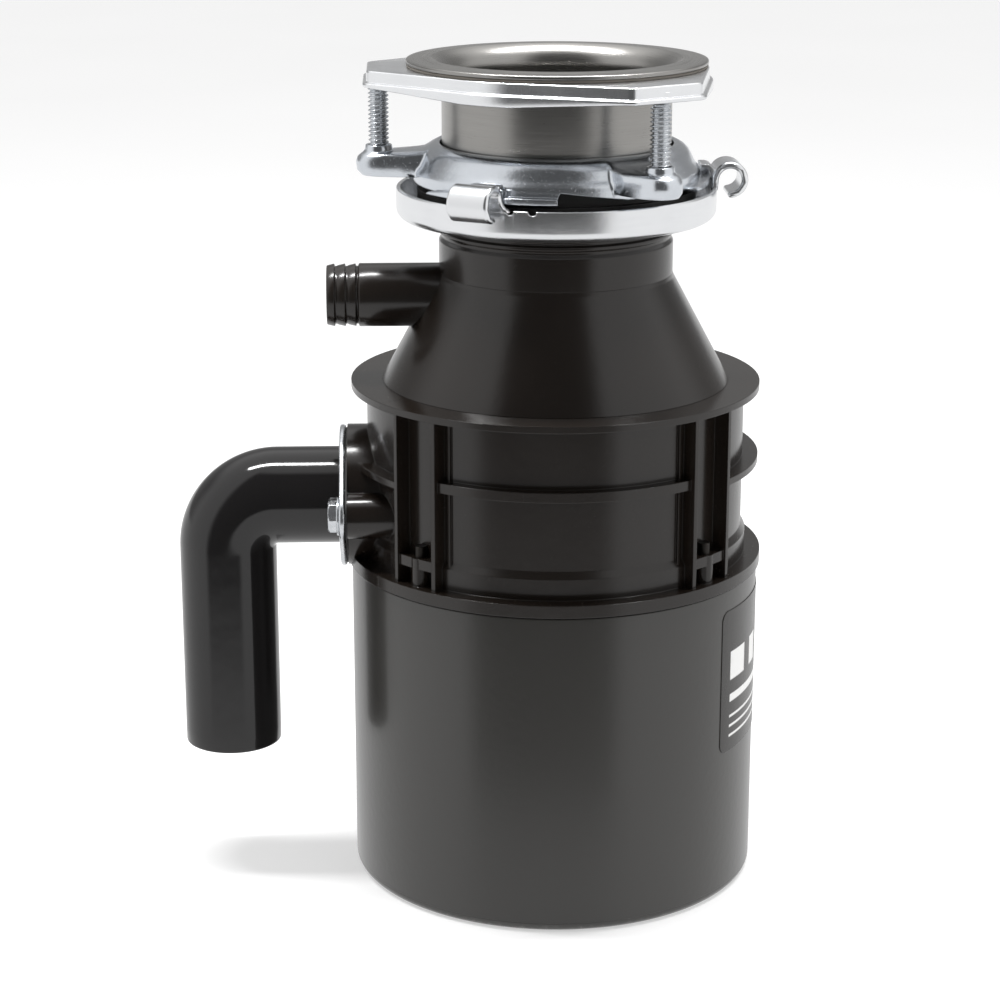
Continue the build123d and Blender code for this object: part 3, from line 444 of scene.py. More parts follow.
def plain_metal(name, dark, light, rough, grain, metallic=1.0):
    """Machined or cast metal with a grain of its own size."""
    metal = Finish(name)
    clouds = metal.noise(grain * 0.2, 4.0, 0.6)
    fine = metal.noise(grain, 3.0, 0.6)
    metal.colour(dark, light, clouds * 0.6 + fine * 0.4)
    metal.drive("Roughness", rough + 0.18 * clouds + 0.08 * fine)
    metal.constants(**{"Metallic": metallic})
    metal.relief(fine + clouds, 0.00010, 0.5)
    return metal.material


def wound_copper():
    """Enamelled wire laid round the axis in tight turns."""
    copper = Finish("wound_copper")
    x, y, z = copper.parts()
    away = (x * x + y * y) ** 0.5
    lay = copper.noise(60.0, 3.0)
    wires = (z * 6300.0 + away * 4200.0 + lay * 9.0).sine() * 0.5 + 0.5
    copper.colour((0.22, 0.055, 0.018), (0.62, 0.25, 0.10), wires * 0.7 + lay * 0.3)
    copper.drive("Roughness", 0.24 + 0.22 * lay)
    copper.constants(**{"Metallic": 0.85, "Coat Weight": 0.5})
    copper.relief(wires, 0.00035, 0.8)
    return copper.material


def stacked_steel():
    """Edges of thin steel sheets stacked along the axis."""
    stack = Finish("stacked_steel")
    _, _, z = stack.parts()
    sheets = (z * 12500.0).sine() * 0.5 + 0.5
    oil = stack.noise(60.0, 4.0, 0.6)
    stack.colour((0.10, 0.10, 0.11), (0.34, 0.34, 0.35), sheets * 0.5 + oil * 0.5)
    stack.drive("Roughness", 0.30 + 0.25 * oil)
    stack.constants(**{"Metallic": 1.0})
    stack.relief(sheets, 0.00012, 0.7)
    return stack.material


def galvanised():
    """Galvanised steel with large spangle."""
    steel = Finish("galvanised")
    spangle = steel.cells(160.0, "Color")
    tone = steel.node("ShaderNodeSeparateColor", inputs={0: spangle}, output=0)
    wear = steel.noise(90.0, 4.0, 0.6)
    steel.colour((0.38, 0.39, 0.41), (0.66, 0.67, 0.68), tone * 0.6 + wear * 0.4)
    steel.drive("Roughness", 0.26 + 0.20 * tone + 0.08 * wear)
    steel.constants(**{"Metallic": 1.0})
    steel.relief(wear, 0.00010, 0.4)
    return steel.material


def moulded(name, dark, light, rough):
    """Small moulded or dyed part with clouded gloss."""
    plastic = Finish(name)
    clouds = plastic.noise(120.0, 3.0)
    plastic.colour(dark, light, clouds)
    plastic.drive("Roughness", rough + 0.15 * clouds)
    plastic.relief(plastic.noise(900.0, 2.0), 0.00006, 0.5)
    return plastic.material


def printed_label():
    """Dark film with a plain printed band, a rule and rows of small marks."""
    film = Finish("printed_label")
    x, y, z = film.parts()
    around = y.angle_from(x)

    def bar(left, right, low, high):
        """A box on the label: 1 inside, 0 outside, from angle and height."""
        soft = 0.0004
        sides = around.ramp(left, left + 0.006) * (1.0 - around.ramp(right - 0.006, right))
        return sides * z.ramp(low, low + soft) * (1.0 - z.ramp(high - soft, high))

    marks = bar(-0.62, 0.10, 0.0800, 0.0835)
    for number, length in enumerate((0.17, 0.12, 0.21, 0.15)):
        left = -0.62 + 0.25 * number
        marks = marks + bar(left, left + length, 0.0890, 0.1010)
    for number, length in enumerate((0.62, 0.50, 0.58)):
        low = 0.0655 + 0.0040 * number
        marks = marks + bar(-0.62, -0.62 + length, low, low + 0.0014)
    marks = marks.clamped()
    clouds = film.noise(60.0, 3.0)
    base = film.mix(clouds, (0.016, 0.0145, 0.013), (0.024, 0.022, 0.020))
    film.drive("Base Color", film.mix(marks, base, (0.80, 0.80, 0.79)))
    film.drive("Roughness", 0.20 + 0.12 * clouds + 0.10 * marks)
    film.relief(film.noise(300.0, 2.0) + marks * 0.15, 0.00008, 0.4)
    return film.material


FINISHES = {
    "can_paint": can_paint(),
    "chamber_plastic": chamber_plastic(),
    "tube_plastic": tube_plastic(),
    "cast_bright": cast_bright(),
    "bright_steel": bright_steel(),
    "sink_stainless": sink_stainless(),
    "zinc_steel": zinc_steel(),
    "blackened_steel": plain_metal(
        "blackened_steel", (0.020, 0.018, 0.017), (0.050, 0.046, 0.042), 0.26, 800.0),
    "fiber": fiber_sheet(),
    "black_rubber": moulded_rubber(),
    "bronze": plain_metal("bronze", (0.36, 0.22, 0.10), (0.60, 0.42, 0.22), 0.30, 900.0),
    "copper_winding": wound_copper(),
    "core_steel": stacked_steel(),
    "cast_aluminium": plain_metal("cast_aluminium", (0.34, 0.35, 0.36), (0.60, 0.61, 0.62), 0.36, 600.0),
    "galvanised_steel": galvanised(),
    "shaft_steel": plain_metal("shaft_steel", (0.42, 0.42, 0.42), (0.64, 0.64, 0.64), 0.18, 700.0),
    "reset_red": moulded("reset_red", (0.42, 0.012, 0.008), (0.56, 0.02, 0.014), 0.25),
    "ground_green": moulded("ground_green", (0.010, 0.16, 0.035), (0.02, 0.28, 0.07), 0.30),
    "relay_plastic": moulded("relay_plastic", (0.016, 0.016, 0.018), (0.035, 0.035, 0.038), 0.42),
    "label_film": printed_label(),
}


# ---------------------------------------------------------------- surfaces

def rounded_outline(corners, steps=5):
    """Closed outline from (x, y, radius) corners in mm: each corner becomes an arc
    tangent to both of its sides, or stays a point where its radius is 0."""
    points = np.array([corner[:2] for corner in corners], float)
    made = []
    for index, (x, y, radius) in enumerate(corners):
        here = np.array((x, y), float)
        back = points[index - 1] - here
        ahead = points[(index + 1) % len(points)] - here
        back_length = np.linalg.norm(back)
        ahead_length = np.linalg.norm(ahead)
        back = back / back_length
        ahead = ahead / ahead_length
        half = math.acos(float(np.clip(back @ ahead, -1, 1))) / 2
        if radius <= 0 or half > math.radians(89):
            made.append(here[None, :])
            continue
        reach = min(radius / math.tan(half), 0.49 * back_length, 0.49 * ahead_length)
        radius = reach * math.tan(half)
        middle = here + (back + ahead) / np.linalg.norm(back + ahead) * radius / math.sin(half)
        start = here + back * reach - middle
        end = here + ahead * reach - middle
        turn = math.atan2(start[0] * end[1] - start[1] * end[0], float(start @ end))
        angles = np.linspace(0, turn, steps + 1)
        cosines = np.cos(angles)[:, None]
        sines = np.sin(angles)[:, None]
        across = np.array((-start[1], start[0]))
        made.append(middle + start * cosines + across * sines)
    return np.concatenate(made) * MM


def carried(origins, across, up, section, closed=True):
    """Shell of a closed section carried along a path:
    point(i, j) = origin(i) + s(j) * across(i) + t(j) * up(i).
    An open path is closed by a flat face at each end."""
    origins = np.asarray(origins, float)
    section = np.asarray(section, float)
    if section.ndim == 2:
        section = np.broadcast_to(section, (len(origins), *section.shape))
    points = (origins[:, None, :]
              + section[:, :, 0:1] * np.asarray(across)[:, None, :]
              + section[:, :, 1:2] * np.asarray(up)[:, None, :])
    rows, columns = points.shape[:2]
    row = np.arange(rows if closed else rows - 1)[:, None]
    column = np.arange(columns)[None, :]
    after_row = (row + 1) % rows
    after_column = (column + 1) % columns
    quads = np.stack(np.broadcast_arrays(
        row * columns + column,
        row * columns + after_column,
        after_row * columns + after_column,
        after_row * columns + column,
    ), axis=-1).reshape(-1, 4)
    faces = quads.tolist()
    if not closed:
        faces.append(list(range(columns))[::-1])
        faces.append([(rows - 1) * columns + j for j in range(columns)])
    return points.reshape(-1, 3), faces


def turned(section, segments=240, start=0.0, sweep=360.0, centre=(0, 0), axis="z"):
    """Shell of a section of (radius, height) turned about an axis, all the way or part of it."""
    closed = abs(sweep) >= 360
    count = segments if closed else segments + 1
    angles = np.radians(start + sweep * np.arange(count) / segments)
    cosines, sines, zeros, ones = np.cos(angles), np.sin(angles), np.zeros(count), np.ones(count)
    a, b = (np.full(count, value * MM) for value in centre)
    if axis == "z":
        origins = np.stack((a, b, zeros), axis=1)
        across = np.stack((cosines, sines, zeros), axis=1)
        up = np.stack((zeros, zeros, ones), axis=1)
    else:
        origins = np.stack((zeros, a, b), axis=1)
        across = np.stack((zeros, cosines, sines), axis=1)
        up = np.stack((ones, zeros, zeros), axis=1)
    return carried(origins, across, up, section, closed)


def hull_outline(circles, inset=0.0, count=360):
    """Outline in mm of a belt round some circles (x, y, radius), moved in by an inset:
    at each outward direction it lies on the circle that reaches furthest that way."""
    angles = np.arange(count) * 2 * np.pi / count
    outward = np.stack((np.cos(angles), np.sin(angles)), axis=1)
    middles = np.array([circle[:2] for circle in circles], float)
    radii = np.array([circle[2] for circle in circles], float) - inset
    furthest = np.argmax(outward @ middles.T + radii, axis=1)
    return middles[furthest] + radii[furthest][:, None] * outward


def polar_mm(radius, direction):
    """Point in plan, in mm, at a radius and a direction in degrees."""
    angle = math.radians(direction)
    return (radius * math.cos(angle), radius * math.sin(angle))


def piece(name, shells, slot, body, replaced=(), sharp=34.0):
    """Join shells into one object with its finish, on a body, standing for CAD nodes."""
    points = []
    faces = []
    count = 0
    for shell_points, shell_faces in shells:
        points.append(shell_points)
        faces.extend([[index + count for index in face] for face in shell_faces])
        count += len(shell_points)
    mesh = bpy.data.meshes.new(name)
    mesh.from_pydata(np.concatenate(points).tolist(), [], faces)
    mesh.materials.append(FINISHES[slot])
    face_outwards(mesh)
    mesh.shade_smooth()
    mesh.set_sharp_from_angle(angle=math.radians(sharp))
    made = bpy.data.objects.new(name, mesh)
    bpy.context.scene.collection.objects.link(made)
    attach(made, body)
    if replaced:
        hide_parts(*replaced)


def face_outwards(mesh):
    """Merge doubled points and turn the faces of each closed shell outwards."""
    work = bmesh.new()
    work.from_mesh(mesh)
    bmesh.ops.remove_doubles(work, verts=work.verts, dist=1e-7)
    bmesh.ops.dissolve_degenerate(work, edges=work.edges, dist=1e-8)
    bmesh.ops.recalc_face_normals(work, faces=work.faces)
    work.to_mesh(mesh)
    work.free()


# ---------------------------------------------------------------- finishes of the CAD nodes

slot_of = {part["node"]: part["material_slot"] for part in frame["record"]["subparts"]}
for node_name, node_object in nodes.items():
    mesh = node_object.data
    mesh.materials.clear()
    mesh.materials.append(FINISHES[slot_of[node_name]])
    mesh.shade_smooth()
    mesh.set_sharp_from_angle(angle=math.radians(30))

# ---------------------------------------------------------------- sink mount

def arc_through(first, middle, last, count):
    """Points in mm along the circle through three points, ends included."""
    (ax, ay), (bx, by), (cx, cy) = first, middle, last
    twice = 2 * (ax * (by - cy) + bx * (cy - ay) + cx * (ay - by))
    a2, b2, c2 = ax * ax + ay * ay, bx * bx + by * by, cx * cx + cy * cy
    x = (a2 * (by - cy) + b2 * (cy - ay) + c2 * (ay - by)) / twice
    y = (a2 * (cx - bx) + b2 * (ax - cx) + c2 * (bx - ax)) / twice
    start = math.atan2(ay - y, ax - x)
    through = (math.atan2(by - y, bx - x) - start) % (2 * math.pi)
    end = (math.atan2(cy - y, cx - x) - start) % (2 * math.pi)
    if through > end:
        end -= 2 * math.pi
    radius = math.hypot(ax - x, ay - y)
    angles = start + end * np.linspace(0, 1, count)
    return [(x + radius * math.cos(angle), y + radius * math.sin(angle)) for angle in angles]


def stacked(levels, count, closed=True):
    """Shell through a stack of outlines, each count points long and given in metres:
    point(i, j) = outline(i)(j). An open stack ends in flat faces."""
    points = np.array(levels, float)
    rows = len(points)
    still = np.zeros((rows, 3))
    _, faces = carried(still, still, still, np.zeros((rows, count, 2)), closed)
    return points.reshape(-1, 3), faces


def lifted(outline, height):
    """An outline in plan, in mm, at a height in mm, as points in metres."""
    outline = np.asarray(outline, float)
    return np.column_stack((outline, np.full(len(outline), height))) * MM


SCREW_DIRECTIONS = (180, 300, 60)
HANGER_DIRECTIONS = {"hanger_right": 0, "hanger_back": 120, "hanger_front": 240}
SCREW_CIRCLE = 67.6
OUTLET_HEIGHT = 152.3
BOLT_HEIGHT = 151.7
INLET_HEIGHT = 232.2


def sink_flange():
    """Rim, bowl and straight tube turned in one sheet, with a groove for the snap ring."""
    bowl = arc_through((42.0, 313.5), (43.2, 319.4), (46.8, 322.6), 16)
    back = arc_through((48.6, 321.0), (45.0, 318.6), (43.7, 313.5), 12)
    corners = [(x, z, 0) for x, z in bowl]
    corners += [(47.7, 323.0, 0.8), (50.6, 322.92, 0.4), (51.0, 322.78, 0.3), (55.4, 322.72, 0.6),
                (57.15, 322.45, 0.7), (57.15, 321.0, 0.3)]
    corners += [(x, z, 0) for x, z in back]
    corners += [(43.7, 283.8, 0.1), (42.9, 283.8, 0.1), (42.9, 281.6, 0.1), (43.7, 281.6, 0.1),
                (43.7, 274.9, 0.5), (42.0, 274.9, 0.5)]
    piece("sink_flange_turned", [turned(rounded_outline(corners), 288)],
          "sink_stainless", "sink_mount", ["sink_flange", "sink_tube"])


def clamp_plate():
    """Two-tier plate with three blunt corners, hollow below, bored for the sink tube. Its lower
    edge climbs by 2.6 mm at each corner: z(a) = z + 2.6 * smooth step of the angle from the corner."""
    circles = [(0, 0, 59.0)]
    for direction in SCREW_DIRECTIONS:
        circles += [(*polar_mm(68.4, direction + side * 10.9), 6.2) for side in (-1, 1)]
    count = 720
    angles = np.arange(count) * 2 * np.pi / count

    def rim(inset, height):
        outline = hull_outline(circles, inset, count)
        level = lifted(outline, height)
        if height < 312:
            direction = np.degrees(np.arctan2(outline[:, 1], outline[:, 0]))
            off = np.min([np.abs(around(corner, direction)) for corner in SCREW_DIRECTIONS], axis=0)
            share = np.clip((25 - off) / 9, 0, 1)
            level[:, 2] += 2.6 * MM * share * share * (3 - 2 * share)
        return level

    def bore(radius, height):
        return lifted(np.column_stack((np.cos(angles), np.sin(angles))) * radius, height)

    levels = [bore(50.0, 319.8), rim(2.3, 319.8), rim(1.85, 319.68), rim(1.6, 319.4), rim(1.5, 319.0),
              rim(1.5, 316.0), rim(1.42, 315.65), rim(1.2, 315.45), rim(0.8, 315.38), rim(0.35, 315.2),
              rim(0.1, 314.9), rim(0.0, 314.5), rim(0.0, 311.7), rim(0.12, 311.3), rim(0.4, 311.08),
              rim(0.8, 311.0), rim(2.1, 311.0), rim(2.5, 311.1), rim(2.6, 311.4), rim(2.6, 316.2),
              rim(3.0, 316.8), rim(3.6, 317.0), bore(52.4, 317.0), bore(51.8, 316.5), bore(51.8, 311.4),
              bore(51.4, 311.0), bore(49.8, 311.0), bore(49.4, 311.4), bore(49.4, 319.3)]
    shells = [stacked(levels, count)]
    for direction in SCREW_DIRECTIONS:
        pad = rounded_outline([(0, 317.2, 0), (4.5, 317.2, 0), (4.5, 313.3, 0.5), (0, 313.3, 0)])
        pad[:, 0] = np.maximum(pad[:, 0], 0.00005)
        shells.append(turned(pad, 48, centre=polar_mm(SCREW_CIRCLE, direction)))
    piece("clamp_plate_pressed", shells, "bright_steel", "sink_clamp", ["clamp_plate"])


def fiber_gasket():
    """Flat fibre ring under the rim, its edges a little crushed and uneven."""
    count = 360
    angles = np.arange(count) * 2 * np.pi / count
    wave = 0.06 * np.sin(5 * angles + 1.0) + 0.04 * np.sin(13 * angles) + 0.03 * np.sin(31 * angles + 2.0)
    section = rounded_outline([(50.0, 319.82, 0.3), (57.02, 319.82, 0.4), (57.02, 320.98, 0.4),
                               (50.0, 320.98, 0.3)])
    sections = np.repeat(section[None], count, axis=0)
    outer = section[:, 0] > 0.0535
    sections[:, outer, 0] += (wave[:, None] - 0.02) * MM
    up = np.tile((0.0, 0.0, 1.0), (count, 1))
    across = np.column_stack((np.cos(angles), np.sin(angles), np.zeros(count)))
    shell = carried(np.zeros((count, 3)), across, up, sections)
    piece("fiber_gasket_cut", [shell], "fiber", "sink_clamp", ["fiber_gasket"])


def thread_depth(turns):
    """Depth from 0 at the crest to 1 at the root of a 60 degree thread with flat crests."""
    share = np.abs((turns % 1.0) - 0.5) * 2
    return np.clip((1.0 - share - 0.12) / 0.70, 0, 1)


def mounting_screws():
    """Threaded rods: r(a, z) = crest - depth * thread(z / pitch - a / 360), pointed above,
    slotted below."""
    columns = 40
    pitch, crest, depth = 1.6, 3.95, 0.95
    end_radius, half_slot = 3.8, 0.6
    for number, direction in enumerate(SCREW_DIRECTIONS, start=1):
        x, y = polar_mm(SCREW_CIRCLE, direction)
        heights = np.arange(281.4, 312.81, pitch / 9)
        angles = np.arange(columns) * 2 * np.pi / columns
        height, angle = np.meshgrid(heights, angles, indexing="ij")
        radius = crest - depth * thread_depth(height / pitch - angle / (2 * np.pi))
        taper = np.clip(crest - (height - 311.5) * 0.95, 2.6, crest)
        radius = np.minimum(radius, taper)
        grid = np.stack((x + radius * np.cos(angle), y + radius * np.sin(angle), height), axis=-1) * MM
        shells = [stacked(grid, columns, closed=False)]
        for side in (-1, 1):
            start = math.asin(half_slot / end_radius)
            sweep = np.linspace(start, math.pi - start, 20)
            half = np.column_stack((end_radius * np.cos(sweep), end_radius * np.sin(sweep) * side))
            half = half + (x, y)
            shells.append(stacked([lifted(half, 281.45), lifted(half, 279.6),
                                   lifted((half - (x, y)) * 0.95 + (x, y + side * 0.02), 279.4)],
                                  20, closed=False))
        piece(f"mounting_screw_{number}_threaded", shells, "zinc_steel", f"mounting_screw_{number}",
              [f"mounting_screw_{number}"], sharp=50)


def around(direction, angles):
    """Signed angle in degrees of each direction from a given one, from -180 to 180."""
    return (angles - direction + 180) % 360 - 180


def mounting_ring():
    """Domed casting whose section grows into an ear at each screw:
    P(a, j) = (1 - w(a)) dome(j) + w(a) ear(j, R(a)), with R(a) the reach of the ear's outline,
    and whose skirt is cut up into a low arch beside each ramp."""
    count = 1440
    angles = np.arange(count) * 360 / count
    reach = np.zeros(count)
    for direction in SCREW_DIRECTIONS:
        off = np.radians(around(direction, angles))
        for radius, middle in ((9.0, SCREW_CIRCLE), (9.25, 64.5), (9.5, 61.5), (9.75, 59.0), (10.0, 56.5)):
            inside = radius ** 2 - (middle * np.sin(off)) ** 2
            hit = middle * np.cos(off) + np.sqrt(np.maximum(inside, 0))
            hit[(inside <= 0) | (np.abs(off) > 1.2)] = 0
            reach = np.maximum(reach, hit)
    skirt = 54.6
    reach = np.maximum(reach, skirt)
    spread = np.ones(25) / 25
    padded = np.concatenate((reach[-12:], reach, reach[:12]))
    flared = np.convolve(padded, spread, mode="valid")
    flared = np.maximum(flared, skirt)
    share = np.clip((flared - skirt) / 6.0, 0, 1)
    share = share * share * (3 - 2 * share)
    foot = np.full(count, 276.6)
    for direction in HANGER_DIRECTIONS.values():
        off = around(direction, angles)
        arch = (off > 27) & (off < 55)
        rise = 280.0 - 3.4 * (off - 27) / 28
        corner = np.minimum(np.sqrt(np.clip(off - 27, 0, 1.2) / 1.2), 1)
        foot = np.where(arch, np.maximum(foot, 276.6 + (rise - 276.6) * corner), foot)
    made = []
    for index in range(count):
        outer = flared[index]
        low = foot[index]
        dome = [(51.2, 286.9), (52.1, 285.0), (53.0, 283.3), (skirt - 0.4, 282.0), (skirt, 281.0),
                (skirt, 280.2)]
        ear = [(outer - 4.4, 287.7), (outer - 2.2, 287.2), (outer - 0.7, 286.0), (outer, 284.2),
               (outer - 0.3, 281.0), (outer - 2.0, 279.1)]
        w = share[index]
        mixed = [((1 - w) * a[0] + w * b[0], (1 - w) * a[1] + w * b[1]) for a, b in zip(dome, ear)]
        shoulder = (50.1 * (1 - w) + 50.9 * w, 288.7 * (1 - w) + 288.8 * w)
        under = min(max(low + 0.5, 278.9), 279.0)
        section = [(44.3, 283.8), (44.3, 290.4), (44.6, 291.0), (45.3, 291.2), (46.8, 291.0), (48.6, 290.1),
                   shoulder, *mixed, (skirt, max(under, low + 0.4)), (skirt, low + 0.35), (skirt - 0.35, low),
                   (51.75, low), (51.4, low + 0.35), (51.4, 281.5), (50.9, 283.2), (49.5, 283.8)]
        made.append(section)
    sections = np.array(made) * MM
    radians = np.radians(angles)
    across = np.column_stack((np.cos(radians), np.sin(radians), np.zeros(count)))
    up = np.tile((0.0, 0.0, 1.0), (count, 1))
    shells = [carried(np.zeros((count, 3)), across, up, sections)]
    for direction in SCREW_DIRECTIONS:
        centre = polar_mm(SCREW_CIRCLE, direction)
        collar = rounded_outline([(4.03, 286.8, 0), (6.6, 286.8, 0), (5.4, 288.4, 0.8), (5.0, 290.4, 0.5),
                                  (4.03, 290.4, 0.2)])
        shells.append(turned(collar, 64, centre=centre))
    climb = 3.5 / 36
    for direction in HANGER_DIRECTIONS.values():
        for start, end, top_start, top_end in ((-29, 7, 280.7 - 35 * climb, 280.7), (7, 27, 278.5, 278.5)):
            steps = 40
            shares = np.linspace(0, 1, steps)
            turns = np.radians(direction + start + (end - start) * shares)
            origins = np.zeros((steps, 3))
            across = np.column_stack((np.cos(turns), np.sin(turns), np.zeros(steps)))
            up = np.tile((0.0, 0.0, 1.0), (steps, 1))
            tops = top_start + (top_end - top_start) * shares
            ends = np.minimum(np.minimum(shares, 1 - shares) * steps / 1.5, 1)
            tops = tops - 0.5 * (1 - ends)
            sections = np.array([
                rounded_outline([(53.4, 276.0, 0), (58.4, 276.0, 0.5), (58.4, top, 0.5), (53.4, top, 0)])
                for top in tops])
            shells.append(carried(origins, across, up, sections, closed=False))
    piece("mounting_ring_cast", shells, "cast_bright", "sink_mount", ["mounting_ring"], sharp=42)


def support_ring():
    """Turned channel that holds the neck's lip, its edge notched beside each hanger:
    top(a) = 274.4 - sqrt(1.5^2 - s(a)^2) within 1.5 mm of a notch's middle."""
    count = 2160
    angles = np.arange(count) * 360 / count
    notch = np.zeros(count)
    for direction in HANGER_DIRECTIONS.values():
        for middle in (10.5, 18.4):
            along = np.radians(around(direction + middle, angles)) * 60.3
            notch = np.maximum(notch, np.sqrt(np.maximum(1.5 ** 2 - along ** 2, 0)))
    section = rounded_outline([(46.6, 262.6, 0.5), (61.2, 262.6, 3.9), (61.2, 274.4, 0.7), (59.5, 274.4, 0.6),
                               (59.5, 264.3, 2.2), (46.6, 264.3, 0.5)], 8)
    sections = np.repeat(section[None], count, axis=0)
    high = section[:, 1] > 0.2735
    sections[:, high, 1] -= notch[:, None] * MM
    radians = np.radians(angles)
    across = np.column_stack((np.cos(radians), np.sin(radians), np.zeros(count)))
    up = np.tile((0.0, 0.0, 1.0), (count, 1))
    shell = carried(np.zeros((count, 3)), across, up, sections)
    piece("support_ring_pressed", [shell], "bright_steel", "support_ring", ["support_ring"])


def hangers():
    """Straps that rise from the ring's edge and roll outwards:
    P(s, v) = c(s) + half(v) n(s), carried across the strap's width w(s), which flares at the
    foot to follow the ring. Each has a tab bent inwards over the mounting ring's ramp."""
    metal = 2.5
    roll_middle, roll_height, roll_radius = 65.8, 277.0, 5.6
    half_width = 8.25
    rise = np.linspace(273.6, roll_height, 12)
    line = [(60.2, z, -1.0, 0.0) for z in rise[:-1]]
    for angle in np.radians(np.linspace(180, -85, 46)):
        c, s = math.cos(angle), math.sin(angle)
        line.append((roll_middle + roll_radius * c, roll_height + roll_radius * s, c, s))
    line = np.array(line)
    steps = np.concatenate(([0], np.cumsum(np.hypot(*np.diff(line[:, :2], axis=0).T))))
    flare = half_width + 2.6 * np.exp(-(steps / 1.7) ** 2)
    bend = np.exp(-(steps / 3.0) ** 2)
    outlines = []
    columns = 27
    for v in np.linspace(-1, 1, columns):
        edge = min((1 - abs(v)) * half_width / 0.7, 1.0)
        half = metal / 2 * math.sqrt(1 - (1 - edge) ** 2 * 0.75)
        width = flare * v
        ring = np.sqrt(60.35 ** 2 - width ** 2) - 60.2
        shift = bend * ring
        outer, inner = (
            np.column_stack((line[:, 0] + shift + side * line[:, 2], width, line[:, 1] + side * line[:, 3]))
            for side in (half, -half))
        tip = line[-1]
        forward = np.array((tip[3], -tip[2]))
        bulge = [(tip[0] + forward[0] * half * math.sin(t) + half * math.cos(t) * tip[2], width[-1],
                  tip[1] + forward[1] * half * math.sin(t) + half * math.cos(t) * tip[3])
                 for t in np.radians((30, 60, 90, 120, 150))]
        outlines.append(np.concatenate((outer, bulge, inner[::-1])))
    outlines = np.array(outlines)
    path = np.array([(59.9, 275.6), (59.8, 277.4), (59.6, 279.2), (59.1, 280.8), (58.2, 281.7), (57.0, 282.0),
                     (55.9, 282.0), (55.1, 282.0)])
    tangent = np.gradient(path, axis=0)
    tangent /= np.linalg.norm(tangent, axis=1)[:, None]
    normal = np.column_stack((tangent[:, 1], -tangent[:, 0]))
    tab_rows = []
    for v in np.linspace(-1, 1, 9):
        half = 0.95 * (1 if abs(v) < 0.99 else 0.7)
        tab_rows.append([(r * math.cos(math.radians(6 * v)), r * math.sin(math.radians(6 * v)), z)
                         for r, z in np.concatenate((path + half * normal, (path - half * normal)[::-1]))])
    tab_rows = np.array(tab_rows)
    for name, direction in HANGER_DIRECTIONS.items():
        c, s = math.cos(math.radians(direction)), math.sin(math.radians(direction))
        spin = np.array(((c, s, 0), (-s, c, 0), (0, 0, 1)))
        shells = [stacked(outlines @ spin * MM, outlines.shape[1], closed=False),
                  stacked(tab_rows @ spin * MM, tab_rows.shape[1], closed=False)]
        piece(f"{name}_rolled", shells, "bright_steel", "support_ring", [name], sharp=50)


# ---------------------------------------------------------------- can, chamber and drain

def chamber_neck():
    """Neck turned with two rounded ridges above a shoulder, and the lip the support ring holds."""
    outer = [(45.0, 241.5, 0), (45.0, 253.9, 0.9), (43.9, 255.3, 0.6)]
    for middle in (257.6, 261.1):
        outer += [(43.9, middle - 1.25, 0.5), (45.1, middle - 0.55, 0.5), (45.1, middle + 0.55, 0.5),
                  (43.9, middle + 1.25, 0.5)]
    outer += [(43.9, 265.0, 0.4), (50.5, 265.0, 0.6), (50.5, 268.2, 0.6), (41.5, 268.2, 0.5),
              (41.5, 241.5, 0)]
    piece("chamber_neck_turned", [turned(rounded_outline(outer), 288)], "chamber_plastic", "disposer",
          ["chamber_neck"])


def cushion_lip():
    """Standing lip of the rubber cushion, inside the mounting ring's skirt."""
    section = rounded_outline([(47.6, 272.5, 0), (50.6, 272.5, 0), (50.6, 281.0, 1.0), (47.6, 281.0, 1.0)])
    piece("cushion_lip_moulded", [turned(section, 288)], "black_rubber", "disposer")


def cone_reach(height, across):
    """How far out along -X the neck and cone lie at a height and a sideways distance, in mm."""
    neck_radius = 45.0
    top_radius, top_height = 45.5, 240.0
    slope = (67.4 - top_radius) / (top_height - 199.4)
    radius = np.maximum(neck_radius, top_radius + (top_height - height) * slope)
    return np.sqrt(np.maximum(radius ** 2 - across ** 2, 1.0))


def inlet_stub():
    """Barbed stub whose foot follows the cone: the last ring's x(a) = 0.6 - reach of the cone at
    that point. Its bore is closed by a thin web."""
    columns = 96
    angles = np.arange(columns) * 2 * np.pi / columns
    cosines = np.cos(angles)
    sines = np.sin(angles)

    def hoop(radius, x):
        return facing_drain(np.column_stack((radius * cosines, INLET_HEIGHT + radius * sines)), x)

    outer = [(11.25, -88.3)]
    for number in range(3):
        start = -88.3 + 4.1 * number
        outer += [(11.45, start + 0.25), (12.0, start + 2.6), (12.05, start + 2.85), (11.95, start + 3.05),
                  (11.3, start + 3.2), (11.15, start + 3.45), (11.15, start + 3.85)]
    outer += [(12.0, -75.9), (12.2, -75.6), (12.2, -66.0)]
    levels = [hoop(radius, x) for radius, x in outer]
    foot = hoop(12.2, 0.0)
    foot[:, 0] = (0.6 - cone_reach(foot[:, 2] / MM, foot[:, 1] / MM)) * MM
    levels += [foot]
    inner = hoop(8.5, 0.0)
    inner[:, 0] = (0.6 - cone_reach(inner[:, 2] / MM, inner[:, 1] / MM)) * MM
    levels += [inner, hoop(8.5, -57.4), hoop(0.05, -57.4), hoop(0.05, -59.0), hoop(8.5, -59.0),
               hoop(8.5, -87.9), hoop(8.8, -88.3)]
    piece("inlet_stub_barbed", [stacked(levels, columns)], "chamber_plastic", "disposer", ["inlet_stub"])


def motor_can():
    """Drawn wall of the can, with a rolled upper edge."""
    section = rounded_outline([(78.95, 3.6, 0), (80.15, 3.6, 0), (80.15, 126.4, 0.75), (78.95, 126.4, 0.4)])
    piece("motor_can_drawn", [turned(section, 360)], "can_paint", "disposer", ["motor_can"])


